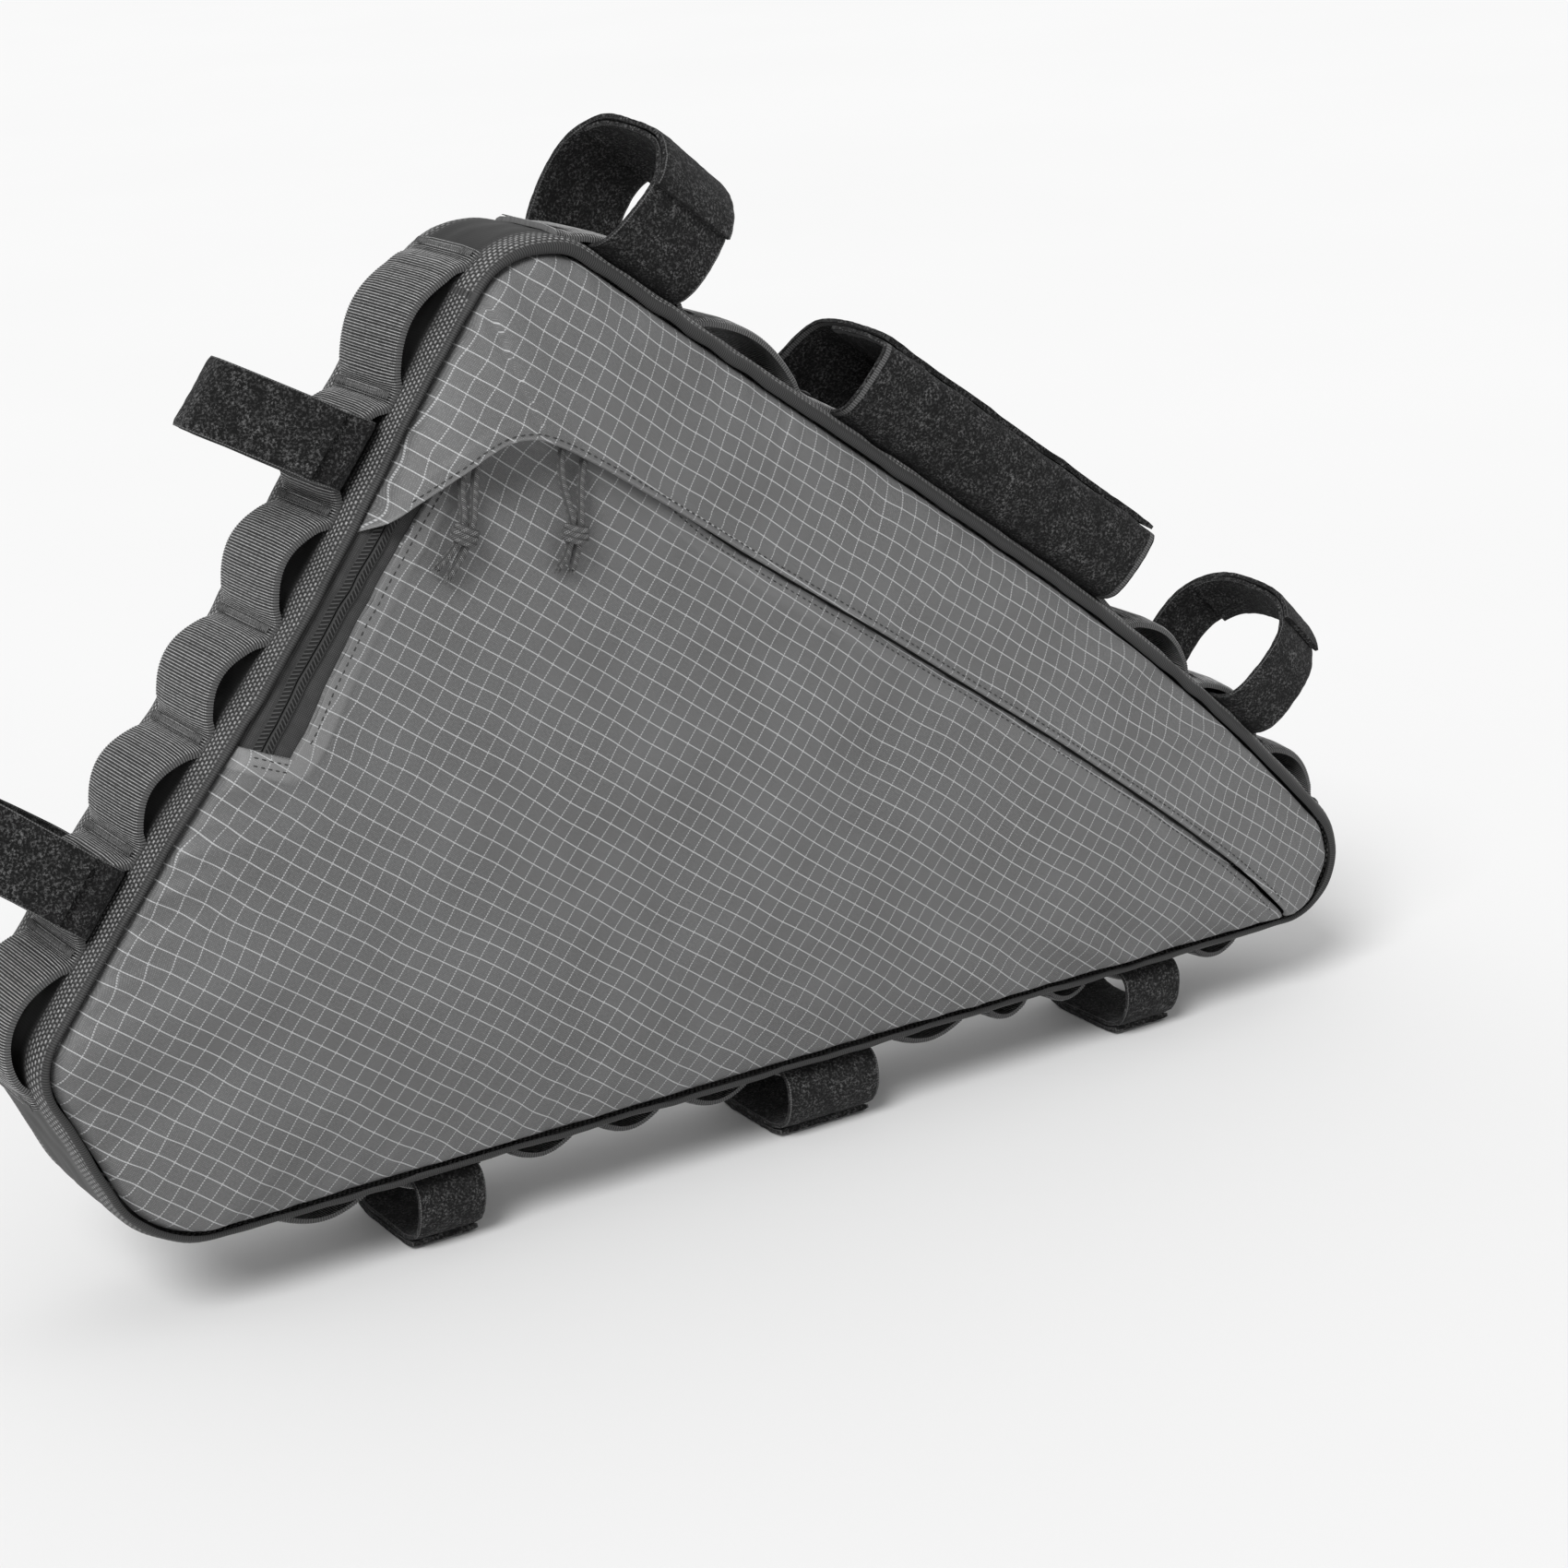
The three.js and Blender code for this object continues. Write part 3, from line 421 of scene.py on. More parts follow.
class Nodes:
    """A material's node tree, with short calls for what the cloths share."""

    def __init__(self, name, roughness, specular=0.3, sheen=0.0, metallic=0.0, tint=(0.5, 0.5, 0.5)):
        self.material = bpy.data.materials.new(name)
        self.material.use_nodes = True
        self.tree = self.material.node_tree
        self.shader = self.tree.nodes["Principled BSDF"]
        values = {"Roughness": roughness, "Specular IOR Level": specular, "Metallic": metallic,
                  "Sheen Weight": sheen, "Sheen Tint": (*tint, 1)}
        for socket, value in values.items():
            self.shader.inputs[socket].default_value = value

    def node(self, kind, **settings):
        made = self.tree.nodes.new(kind)
        for key, value in settings.items():
            setattr(made, key, value)
        return made

    def link(self, a, b):
        self.tree.links.new(a, b)

    def uv(self):
        made = self.node("ShaderNodeUVMap", uv_map="flat")
        split = self.node("ShaderNodeSeparateXYZ")
        self.link(made.outputs[0], split.inputs[0])
        return split.outputs[0], split.outputs[1], made.outputs[0]

    def where(self):
        return self.node("ShaderNodeTexCoord").outputs["Object"]

    def math(self, operation, a, b=None, c=None):
        made = self.node("ShaderNodeMath", operation=operation)
        for i, value in enumerate((a, b, c)):
            if value is None:
                continue
            if isinstance(value, (int, float)):
                made.inputs[i].default_value = value
            else:
                self.link(value, made.inputs[i])
        return made.outputs[0]

    def times(self, a, b):
        return self.math("MULTIPLY", a, b)

    def plus(self, a, b):
        return self.math("ADD", a, b)

    def affine(self, a, factor, added):
        return self.math("MULTIPLY_ADD", a, factor, added)

    def noise(self, vector, scale, detail=3.0, roughness=0.55):
        made = self.node("ShaderNodeTexNoise")
        made.inputs["Scale"].default_value = scale
        made.inputs["Detail"].default_value = detail
        made.inputs["Roughness"].default_value = roughness
        self.link(vector, made.inputs["Vector"])
        return made.outputs["Fac"]

    def stripe(self, value, pitch, width, soft=0.25):
        """1 on a line of that width in every pitch, 0 between the lines."""
        f = self.math("FRACT", self.math("DIVIDE", value, pitch))
        away = self.math("ABSOLUTE", self.math("SUBTRACT", f, 0.5))
        half = width / pitch / 2
        return self.ramp(away, half * (1 + soft), half * (1 - soft), kind="SMOOTHSTEP")

    def wave(self, value, pitch):
        """A sine from 0 to 1."""
        s = self.math("SINE", self.times(value, 2 * math.pi / pitch))
        return self.affine(s, 0.5, 0.5)

    def ramp(self, value, low, high, to=(0, 1), kind="LINEAR"):
        made = self.node("ShaderNodeMapRange", interpolation_type=kind)
        sockets = ("From Min", "From Max", "To Min", "To Max")
        for socket, number in zip(sockets, (low, high, *to)):
            made.inputs[socket].default_value = number
        self.link(value, made.inputs["Value"])
        return made.outputs["Result"]

    def mix(self, fac, a, b):
        made = self.node("ShaderNodeMix", data_type="RGBA")
        self.link(fac, made.inputs["Factor"])
        for socket, value in ((made.inputs[6], a), (made.inputs[7], b)):
            if isinstance(value, tuple):
                socket.default_value = (*value, 1)
            else:
                self.link(value, socket)
        return made.outputs[2]

    def color(self, value):
        self.link(value, self.shader.inputs["Base Color"])

    def bump(self, height, distance):
        made = self.node("ShaderNodeBump")
        made.inputs["Strength"].default_value = 1.0
        made.inputs["Distance"].default_value = distance
        self.link(height, made.inputs["Height"])
        self.link(made.outputs[0], self.shader.inputs["Normal"])

    def rough(self, value, low, high):
        self.link(self.ramp(value, 0, 1, (low, high)), self.shader.inputs["Roughness"])


def grey(value, cast=0.0):
    """Linear colour of an sRGB grey level from 0 to 255, a little bluer by cast."""
    s = value / 255
    v = s / 12.92 if s <= 0.04045 else ((s + 0.055) / 1.055) ** 2.4
    return (v * (1 - cast), v, v * (1 + cast))


def ripstop(name):
    """Panel cloth: a grid of light yarns, whole one way and dotted the other, lighter where it is double,
    partly as painted light on the hem's folds, and with a painted highlight along the flap's folded rim.
    """
    line, stitch, yarn = 0.42, 0.9, 0.55
    m = Nodes(name, 0.5, specular=0.35, sheen=0.05)
    u, v, flat = m.uv()
    whole = m.affine(m.stripe(u, stitch, 0.6), 0.25, 0.75)
    dots = m.affine(m.stripe(v, stitch, 0.5), 0.8, 0.2)
    solid = m.times(m.stripe(v, CELL, line), whole)
    dotted = m.times(m.stripe(u, CELL, line), dots)
    lines = m.math("MAXIMUM", solid, m.times(dotted, 0.95))
    weave = m.times(m.wave(u, yarn), m.wave(v, yarn))
    mottle = m.noise(flat, 0.03, 4.0)
    base = m.mix(m.ramp(mottle, 0.3, 0.7), grey(83), grey(93, 0.01))
    speck = m.times(weave, m.ramp(m.noise(flat, 1.3, 2.0), 0.3, 0.75))
    # The hem mask lightens the cloth where it lies double, partly as painted light on the lower hem's folds,
    # and paints a highlight along the flap's folded rim.
    hem = m.node("ShaderNodeAttribute", attribute_name="hem").outputs["Fac"]
    base = m.mix(speck, base, grey(140))
    base = m.mix(m.times(hem, 0.3), base, grey(150))
    m.color(m.mix(lines, base, grey(172, 0.01)))
    relief = m.plus(m.times(lines, 0.8), m.times(weave, 0.35))
    m.bump(relief, 0.00014)
    m.rough(lines, 0.52, 0.42)
    return m.material


def coarse_weave(name, dark, light, pitch):
    """Thick basket weave, with a plain dark binding along the seams, darkened also as painted shade of the
    crease there; painted shade makes the middle under the webbing plain and dark.
    """
    m = Nodes(name, 0.6, specular=0.3, sheen=0.05)
    u, v, flat = m.uv()
    skew = m.times(m.math("FLOOR", m.math("DIVIDE", v, pitch)), pitch * 0.5)
    over = m.times(m.stripe(m.plus(u, skew), pitch, pitch * 0.62, 0.5),
                  m.stripe(v, pitch, pitch * 0.55, 0.5))
    under = m.times(m.wave(u, pitch * 0.5), 0.16)
    height = m.math("MAXIMUM", over, under)
    slub = m.noise(flat, 0.8, 2.0)
    tone = m.times(height, m.ramp(slub, 0.15, 0.7))
    inward = m.math("SUBTRACT", GUSSET_GIRTH / 2, m.math("ABSOLUTE", v))
    # Outside the woven band the cloth is plain and dark: the binding, darkened also as painted shade of its
    # crease, and painted shade in the middle under the webbing.
    outside_painted_shade = m.ramp(inward, BINDING + 13.0, BINDING + 9.0)
    weave_band = m.times(m.ramp(inward, BINDING, BINDING + 0.8), outside_painted_shade)
    rib = m.times(m.wave(u, 0.8), 0.1)
    binding_and_painted_shade = m.times(m.math("SUBTRACT", 1.0, weave_band), rib)
    tone = m.plus(m.times(tone, weave_band), binding_and_painted_shade)
    # Painted shade: the middle under the webbing's arches is darkened to a fifth.
    painted_shade = m.affine(m.ramp(inward, BINDING + 15.0, BINDING + 8.0), 0.8, 0.2)
    m.color(m.mix(m.times(tone, painted_shade), dark, light))
    m.bump(m.times(height, weave_band), 0.0005)
    return m.material


def ribbed(name):
    """Webbing: ribs across its width and floats between them."""
    m = Nodes(name, 0.55, specular=0.3, sheen=0.03)
    u, v, flat = m.uv()
    rib = m.ramp(m.wave(u, RIB_PITCH), 0.35, 0.95)
    cross = m.wave(v, 0.8)
    slub = m.noise(flat, 0.5, 3.0)
    floats = m.times(rib, m.affine(cross, 0.35, 0.65))
    tone = m.times(floats, m.ramp(slub, 0.0, 0.6))
    edge = m.math("GREATER_THAN", m.math("ABSOLUTE", v), SELVEDGE)
    cloth = m.mix(tone, grey(32), grey(184))
    m.color(m.mix(edge, cloth, m.mix(m.wave(u, RIB_PITCH), grey(52), grey(104))))
    m.bump(m.plus(rib, m.times(cross, 0.3)), 0.0003)
    return m.material


def nap(name):
    """Hook and loop tape: short matted loops that catch the light in specks, and a narrow woven edge."""
    m = Nodes(name, 0.9, specular=0.15, sheen=0.12, tint=(0.35, 0.35, 0.36))
    u, v, _ = m.uv()
    where = m.where()
    clump = m.noise(where, 200, 3.0, 0.7)
    fine = m.noise(where, 1100, 3.0, 0.75)
    speck = m.times(m.ramp(fine, 0.48, 0.72), m.ramp(clump, 0.3, 0.7))
    cloth = m.mix(speck, grey(17), grey(124))
    edge = m.times(m.math("GREATER_THAN", v, 0.965), m.math("LESS_THAN", v, 0.992))
    m.color(m.mix(edge, cloth, m.mix(m.wave(u, 0.9), grey(60), grey(104))))
    m.bump(m.plus(m.times(clump, 0.5), m.times(fine, 0.8)), 0.0009)
    return m.material


def plain_yarn(name, dark, light, pitch):
    m = Nodes(name, 0.7, specular=0.25, sheen=0.1)
    u, v, flat = m.uv()
    weave = m.times(m.wave(u, pitch), m.wave(v, pitch))
    mottle = m.noise(flat, 0.3, 3.0)
    m.color(m.mix(m.times(weave, m.ramp(mottle, 0.1, 0.8)), dark, light))
    m.bump(weave, 0.0001)
    return m.material


def chain_yarn(name):
    """The zipper's chain: a slit, painted near black as shade, and a chain stitch in chevrons on each side
    of it.
    """
    pitch = 1.5
    m = Nodes(name, 0.7, specular=0.25)
    u, v, flat = m.uv()
    out = m.math("ABSOLUTE", v)
    slope = m.plus(u, m.times(out, 0.75))
    inside = m.times(m.ramp(out, 0.55, 0.75), m.ramp(out, 2.75, 2.5))
    dark = m.times(m.stripe(slope, pitch, 0.6, 0.5), inside)
    light = m.times(m.stripe(m.plus(slope, pitch / 2), pitch, 0.45, 0.5), inside)
    base = m.mix(m.noise(flat, 1.2, 3.0), grey(38), grey(64))
    base = m.mix(m.times(light, 0.7), base, grey(82))
    base = m.mix(dark, base, grey(24))
    # Painted shade: the slit down the middle of the chain is near black.
    m.color(m.mix(m.ramp(out, 0.24, 0.12), base, grey(6)))
    m.bump(m.math("SUBTRACT", light, dark), 0.0003)
    return m.material


def thread_material(name, dark, light):
    m = Nodes(name, 0.55, specular=0.35, sheen=0.15)
    where = m.where()
    m.color(m.mix(m.ramp(m.noise(where, 900, 2.0), 0.3, 0.7), dark, light))
    m.bump(m.noise(where, 3000, 2.0), 0.0001)
    return m.material


def braid(name):
    """Round braid: strands that cross both ways, 8 round the cord, with painted highlights as light flecks
    where they cross, and painted shade in the grooves between them.
    """
    m = Nodes(name, 0.65, specular=0.25, sheen=0.12)
    u, v, _ = m.uv()
    around = m.times(u, 8.0)
    run = m.times(v, 1.5)
    a = m.stripe(m.plus(around, run), 1.0, 0.55, 0.6)
    b = m.stripe(m.math("SUBTRACT", around, run), 1.0, 0.55, 0.6)
    strands = m.math("MAXIMUM", a, m.times(b, 0.7))
    # Painted highlight: light flecks on every fourth crossing of the strands.
    light = m.stripe(m.plus(around, run), 4.0, 1.2, 0.4)
    # Painted shade: the grooves between the strands are near black.
    base = m.mix(strands, grey(14), grey(98))
    m.color(m.mix(m.times(m.times(a, b), light), base, grey(156)))
    m.bump(strands, 0.0003)
    return m.material


def dull_metal(name):
    m = Nodes(name, 0.42, specular=0.5, metallic=0.7)
    where = m.where()
    scuff = m.noise(where, 300, 4.0)
    m.color(m.mix(m.ramp(scuff, 0.45, 0.75), grey(36), grey(70)))
    m.rough(scuff, 0.3, 0.6)
    m.bump(m.noise(where, 900, 2.0), 0.00005)
    return m.material


RIPSTOP = ripstop("ripstop")
# The dark grey colours the binding, darkened as painted shade of its crease, and the painted shade under the
# webbing.
GUSSET = coarse_weave("gusset_weave", grey(20), grey(172), 1.8)
WEBBING = ribbed("webbing_ribs")
NAP = nap("hook_and_loop")
TAPE = plain_yarn("zipper_tape_weave", grey(46), grey(92), 0.6)
CHAIN = chain_yarn("zipper_chain_weave")
BRAID = braid("cord_braid")
METAL = dull_metal("slider_paint")
SEAM_THREAD = thread_material("thread_seam", grey(30), grey(58))
FIBRE = thread_material("fibre", grey(60), grey(120))
TACK_THREAD = thread_material("thread_tack", grey(50), grey(92))

# Pull cords: points (along, up) from the slider through the knot to the free end, at PULL_HEIGHTS over
# the front panel's dome; the knot is at the sixth

PULLS = {
    "upper": {
        "left": [(44.6, -49.6), (45.6, -57), (50.2, -65), (55.4, -70.8), (58.7, -74.4), (60.2, -77.7),
                 (61.7, -81), (63.2, -85), (63.8, -88.8)],
        "right": [(53.4, -48.8), (53.8, -55), (56.6, -63), (59.6, -69.4), (61.4, -73.2), (62.9, -76.5),
                  (64.4, -79.8), (66.4, -83.4), (68.2, -87)],
    },
    "lower": {
        "left": [(18.4, -75.2), (20.3, -80.2), (23, -86), (25.3, -90.4), (26.2, -93.1), (27, -96.2),
                 (27.8, -99.4), (27.9, -104.3), (27.3, -109)],
        "right": [(21.6, -70.6), (23.6, -77.2), (26.4, -84), (28.5, -89.3), (29.3, -92.4), (30.1, -95.5),
                  (30.8, -98.7), (31.7, -103.8), (32.1, -109.4)],
    },
}
PULL_HEIGHTS = (1.8, 1.85, 2.8, 4.2, 4.9, 4.9, 4.9, 3.8, 2.4)
CORD_DIAMETER, FIBRES, FIBRE_RADIUS = 2.8, 34, 0.13


def over_panel(rows):
    along, up = np.array(rows, float).T
    y = -GUSSET_DEPTH / 2 - dome(along, up, FRONT_BULGE) - np.array(PULL_HEIGHTS)
    return np.stack([along, y, up], -1)


def fray(name, path, seed):
    """Loose fibres that leave the end of a strand."""
    rng = np.random.default_rng(seed)
    way = path[-1] - path[-3]
    way /= np.linalg.norm(way)
    starts, ends = [], []
    for _ in range(FIBRES):
        start = path[-1] - way * 0.6 + rng.normal(0, 0.45, 3)
        starts.append(start)
        ends.append(start + way * rng.uniform(1.4, 3.0) + rng.normal(0, 0.42, 3))
    normals = rng.normal(0, 1, (FIBRES, 3))
    return place(threads(name, starts, ends, normals, FIBRE_RADIUS, FIBRE), "cord")


def add_pull(which, strands):
    routes = {side: over_panel(rows) for side, rows in strands.items()}
    middle = (routes["left"] + routes["right"]) / 2
    axis = middle[6] - middle[4]
    axis /= np.linalg.norm(axis)
    centre = middle[5]
    side = np.cross(axis, [0, -1, 0])
    side /= np.linalg.norm(side)
    out = np.cross(side, axis)
    turns, steps = 2.6, 110
    t = np.linspace(0, 1, steps)
    a = 2 * np.pi * turns * t
    reach = 3.35 + 0.25 * np.sin(3 * a + 1)
    lift = (t - 0.5) * 4.6 + 0.5 * np.sin(a)
    wound = (centre + np.cos(a)[:, None] * side * reach[:, None]
             + np.sin(a)[:, None] * out * reach[:, None] * 0.92 + axis * lift[:, None])
    thick = np.interp(t, [0, 0.04, 0.96, 1], [0.9, 1.32, 1.32, 0.9])
    knot = tube(f"pull_{which}_knot", wound, thick, 12, BRAID)
    place(knot, "cord", f"pull_knot_{which}")
    for number, (name, route) in enumerate(routes.items()):
        path = catmull(route, 60)
        strand = tube(f"pull_{which}_strand_{name}", path, CORD_DIAMETER / 2, 12, BRAID)
        place(strand, "cord", f"pull_cord_{which}_{name}")
        fibres = fray(f"pull_{which}_fray_{name}", path, 5 + number)


for which, strands in PULLS.items():
    add_pull(which, strands)

# Gusset

def add_gusset():
    ways = np.linspace(0, SEAM_LENGTH, 600, endpoint=False)
    along, up, na, nu, rise = seam_at(ways)
    half, deep, start, roll, steps = GUSSET_DEPTH / 2, 10.0, 1.6, math.radians(20), 14

    def shoulder(inset):
        angle = -roll + (math.pi / 2 + roll) * np.linspace(0, 1, steps)[None]
        out = start + (rise[:, None] - start - inset) * np.sin(angle)
        y = half - deep + (deep + CLOTH - inset) * np.cos(angle)
        return np.maximum(out, 0), np.broadcast_to(y, out.shape)

    def profile(inset, dents):
        out, y = shoulder(inset)
        back, front = np.stack([out, y], -1), np.stack([out, -y], -1)[:, ::-1]
        flat = np.tile(np.linspace(deep - half, half - deep, 12)[-2:0:-1], (len(ways), 1))
        middle = np.stack([np.broadcast_to(rise[:, None] - inset, flat.shape), flat], -1)
        row = np.concatenate([back, middle, front], 1)
        bulgy = 0.45 * noise2(ways[:, None], row[..., 1] * 1.7, 9.0, 71) * dents
        return row + np.stack([bulgy, bulgy * 0.4 * np.sign(row[..., 1])], -1)

    def points(row):
        return np.stack([along[:, None] + na[:, None] * row[..., 0], row[..., 1],
                         up[:, None] + nu[:, None] * row[..., 0]], -1)

    outer, inner = profile(0, 1.0), profile(CLOTH, 0.0)
    girth = run_of(outer[0])
    uv = grid(ways, girth - girth[-1] / 2)
    obj = shell("gusset_shell", points(outer), points(inner), uv, GUSSET, ring=True)
    place(obj, "gusset_cloth", "gusset")


add_gusset()

# Panels

FLAP_EDGE = [(0.016, -0.297), (0.028, -0.264), (0.040, -0.231), (0.048, -0.206), (0.058, -0.184),
             (0.073, -0.169), (0.092, -0.163), (0.114, -0.160), (0.177, -0.156), (0.309, -0.150),
             (0.443, -0.144), (0.645, -0.140), (0.818, -0.146)]
COIL_LINE = [(0.018, -0.536), (0.018, -0.345), (0.020, -0.270), (0.031, -0.205), (0.056, -0.155),
             (0.089, -0.133), (0.130, -0.125), (0.273, -0.120), (0.645, -0.118), (0.818, -0.126)]
FOLD_LINE = [(0.0360, -0.536), (0.0374, -0.510), (0.0354, -0.469), (0.0328, -0.404), (0.0318, -0.343)]
FLAP_START, ZIP_END = 0.325, 0.549
SLACK, SLACK_AT, SLACK_SPREAD = 7.5, (38.0, -68.0), (24.0, 15.0)
UNDER_FLAP, UNDER_FROM, UNDER_TO, FLAP_CLEARANCE = 5.0, (12, 24), (70, 120), 0.7
FLAP_LIFT, FLAP_REST, FLAP_OPEN, FLAP_RAMP, FLAP_FALL = 6.6, 3.6, 110.0, 9.0, 1.5
# The flap's hem width is that of a painted highlight along its folded rim; the lower hem's lightening,
# weaker towards the top, is partly painted light on its folds.
FOLD, FLAP_RIM_HIGHLIGHT, LOWER_HEM, HEM_FADE = 0.55, 1.1, 7.5, (140, 175)


def scaled(rows):
    return [(a * TOP_RUN, u * SEAT_RUN) for a, u in rows]


def seam_points(ways):
    along, up, na, nu, _ = seam_at(ways)
    return np.stack([along - na * SEAM_GAP, up - nu * SEAM_GAP], -1)


NOSE_WAY = MARKS["nose"][1]
FLAP_WAY = way_on("seat", FLAP_START * SEAT_RUN)
ZIP_WAY = way_on("seat", ZIP_END * SEAT_RUN)
FLAP_ENDS = seam_points(np.array([FLAP_WAY, NOSE_WAY]))
EDGE = catmull([FLAP_ENDS[0], *scaled(FLAP_EDGE), FLAP_ENDS[1]], 400)


def flap_rise(point):
    """How far the flap's free edge stands off at a point of it."""
    from_seam = np.minimum(*(np.linalg.norm(point - end, axis=-1) for end in FLAP_ENDS))
    closed = ease(point[..., 0], FLAP_OPEN / 2, FLAP_OPEN)
    return (FLAP_LIFT + (FLAP_REST - FLAP_LIFT) * closed) * ease(from_seam, 0, FLAP_RAMP)


def flap_wobble(run, away, width):
    return 0.5 * noise1(run, 26, 88) * np.exp(-away / 14) * ease(width, 2, 20)


def edge_sink(spot, away):
    """The crease along the seam, which a free edge close by bridges."""
    return sink(spot[..., 0], spot[..., 1]) * (1 - np.exp(-away / 6))


def ruled(near, far, shares):
    """Grid of points on straight lines from near to far."""
    t = shares[None, :, None]
    return near[:, None] * (1 - t) + far[:, None] * t


def mark_hem_and_highlight(obj, away, width, strength):
    """Cloth lies double in a hem and looks lighter there, partly as painted light on its folds; on the
    flap's rim the lightening is a painted highlight: strength in the hem, 0 outside it.
    """
    layer = obj.data.attributes.new("hem", "FLOAT", "POINT")
    value = (strength * (1 - ease(away, width - 0.6, width + 0.6))).ravel()
    layer.data.foreach_set("value", np.concatenate([value, value]).astype(np.float32))
    return obj


def round_edge(away, radius, depth):
    """Fall of a sheet's surface toward its rounded edge."""
    t = np.clip(1 - away / radius, 0, 1)
    return depth * (1 - np.sqrt(np.maximum(1 - t * t, 0)))


def front_sheet(name, spot, base, fold, away, hem, strength):
    """Front cloth at a height base over the panel, thicker by fold."""
    outer = front_point(spot[..., 0], spot[..., 1], base + fold)
    inner = front_point(spot[..., 0], spot[..., 1], base - CLOTH)
    obj = shell(f"front_{name}_cloth", outer, inner, drawn(spot, FRONT_GRID_SEED), RIPSTOP)
    place(mark_hem_and_highlight(obj, away, hem, strength), "ripstop", f"front_{name}_panel")


def add_flap():
    n = 380
    near = resample(EDGE, n)
    far = seam_points(np.linspace(FLAP_WAY - SEAM_LENGTH, NOSE_WAY, n))
    far[0], far[-1] = near[0], near[-1]
    shares = np.linspace(0, 1, 64) ** 1.7
    spot = ruled(near, far, shares)
    width = np.linalg.norm(far - near, axis=1)[:, None]
    away = shares[None] * width
    lift = flap_rise(near)[:, None] * (1 - shares[None] ** FLAP_FALL)
    fold = FOLD * (1 - ease(away, 5.0, 7.2)) - round_edge(away, 1.1, 1.5)
    wobble = flap_wobble(spot[..., 0] + spot[..., 1], away, width)
    # On the flap the hem mark is a painted highlight along the folded rim.
    front_sheet("flap", spot, lift + wobble - edge_sink(spot, away), fold, away, FLAP_RIM_HIGHLIGHT, 1.0)
    return near, width


def slack(along, up):
    """The lower panel and the zipper fall back under the open part of the flap."""
    a, u = (along - SLACK_AT[0]) / SLACK_SPREAD[0], (up - SLACK_AT[1]) / SLACK_SPREAD[1]
    return SLACK * np.exp(-a ** 2 - u ** 2)


def edge_distance(spot, line):
    """Distance of grid points to a line, exact near it and never less than the truth far off."""
    flat = spot.reshape(-1, 2)
    nearest = np.full(len(flat), np.inf)
    for point in resample(line, 520):
        nearest = np.minimum(nearest, np.hypot(flat[:, 0] - point[0], flat[:, 1] - point[1]))
    return nearest.reshape(spot.shape[:-1])


def lower_lines():
    """The lower panel's hem under the zipper, and its folded edge from there up and along the flap."""
    start, end = seam_points(np.array([ZIP_WAY, NOSE_WAY + 1]))
    fold = np.array(scaled(FOLD_LINE))
    edge = resample(EDGE, 160)
    under = UNDER_FLAP * ease(edge[:, 0], *UNDER_FROM) * (1 - ease(edge[:, 0], *UNDER_TO))
    below = beside(edge, (FLAP_CLEARANCE - under)[:, None])
    below = below[below[:, 0] > fold[-1][0] + 0.5][:-2]
    return np.vstack([start, fold[:1]]), np.vstack([fold, below, end])


def add_lower():
    """Ruled from the hem, as a fan from the hem's corner, and from the folded edge."""
    hem, folded = lower_lines()
    on_hem, on_corner, on_fold = 30, 110, 240
    near = np.vstack([resample(hem, on_hem), np.repeat(hem[1:], on_corner, 0), resample(folded, on_fold)])
    heel = sum(MARKS["heel"][:2]) / 2
    ways = [np.linspace(ZIP_WAY, ZIP_WAY - 12, on_hem), np.linspace(ZIP_WAY - 12.5, heel, on_corner),
            np.linspace(heel - 0.6, NOSE_WAY + 1, on_fold)]
    far = seam_points(np.concatenate(ways))
    far[0], far[-1] = near[0], near[-1]
    t = np.linspace(0, 1, 96)
    shares = 0.5 * (1 - np.cos(np.pi * t ** 1.15))
    spot = ruled(near, far, shares)
    away = edge_distance(spot, np.vstack([hem, folded]))
    fold = FOLD * (1 - ease(away, 6.5, 8.2)) - round_edge(away, 1.0, 1.3)
    low = edge_sink(spot, away) + slack(spot[..., 0], spot[..., 1])
    # Lighter double hem, weaker towards the top, partly painted light on the hem's folds.
    strength = 0.35 + 0.65 * ease(-spot[..., 1], *HEM_FADE)
    front_sheet("lower", spot, -low, fold, away, LOWER_HEM, strength)
    return hem, folded


def add_back():
    n, m = 460, 56
    rim = seam_points(np.linspace(0, SEAM_LENGTH, n, endpoint=False))
    shares = 1 - np.linspace(0, 1, m + 1)[:-1] ** 1.5
    spot = CROWN + (rim[:, None] - CROWN) * shares[None, :, None]
    spot[:, -1] = CROWN + (rim - CROWN) * 0.004

    def points(depth):
        a, u = spot[..., 0], spot[..., 1]
        y = GUSSET_DEPTH / 2 + dome(a, u, BACK_BULGE) + puckers(a, u, BACK_SEED) - depth - sink(a, u)
        return np.stack([a, y, u], -1)

    uv = drawn(spot, BACK_GRID_SEED)
    obj = shell("back_cloth", points(0), points(CLOTH), uv, RIPSTOP, ring=True)
    place(mark_hem_and_highlight(obj, np.full((n, m), np.inf), 1.0, 0.0), "ripstop", "back_panel")


FREE_EDGE, FLAP_WIDTH = add_flap()
HEM, FOLDED = add_lower()
add_back()

# Zipper

TAPE_TOP = -CLOTH - SEAM_GAP
TAPE_LEFT, TAPE_RIGHT, CHAIN_HALF = 8, 14, 2.9
SLIDER_RISE, SLIDERS = 2.5, {"upper": 0.32, "lower": 0.231}
STITCH_PITCH, STITCH_LENGTH, STITCH_RADIUS, HEM_HEIGHT = 2.7, 1.75, 0.24, 0.5
COIL = catmull(scaled([(COIL_LINE[0][0], COIL_LINE[0][1] - 0.018), *COIL_LINE]), 440)


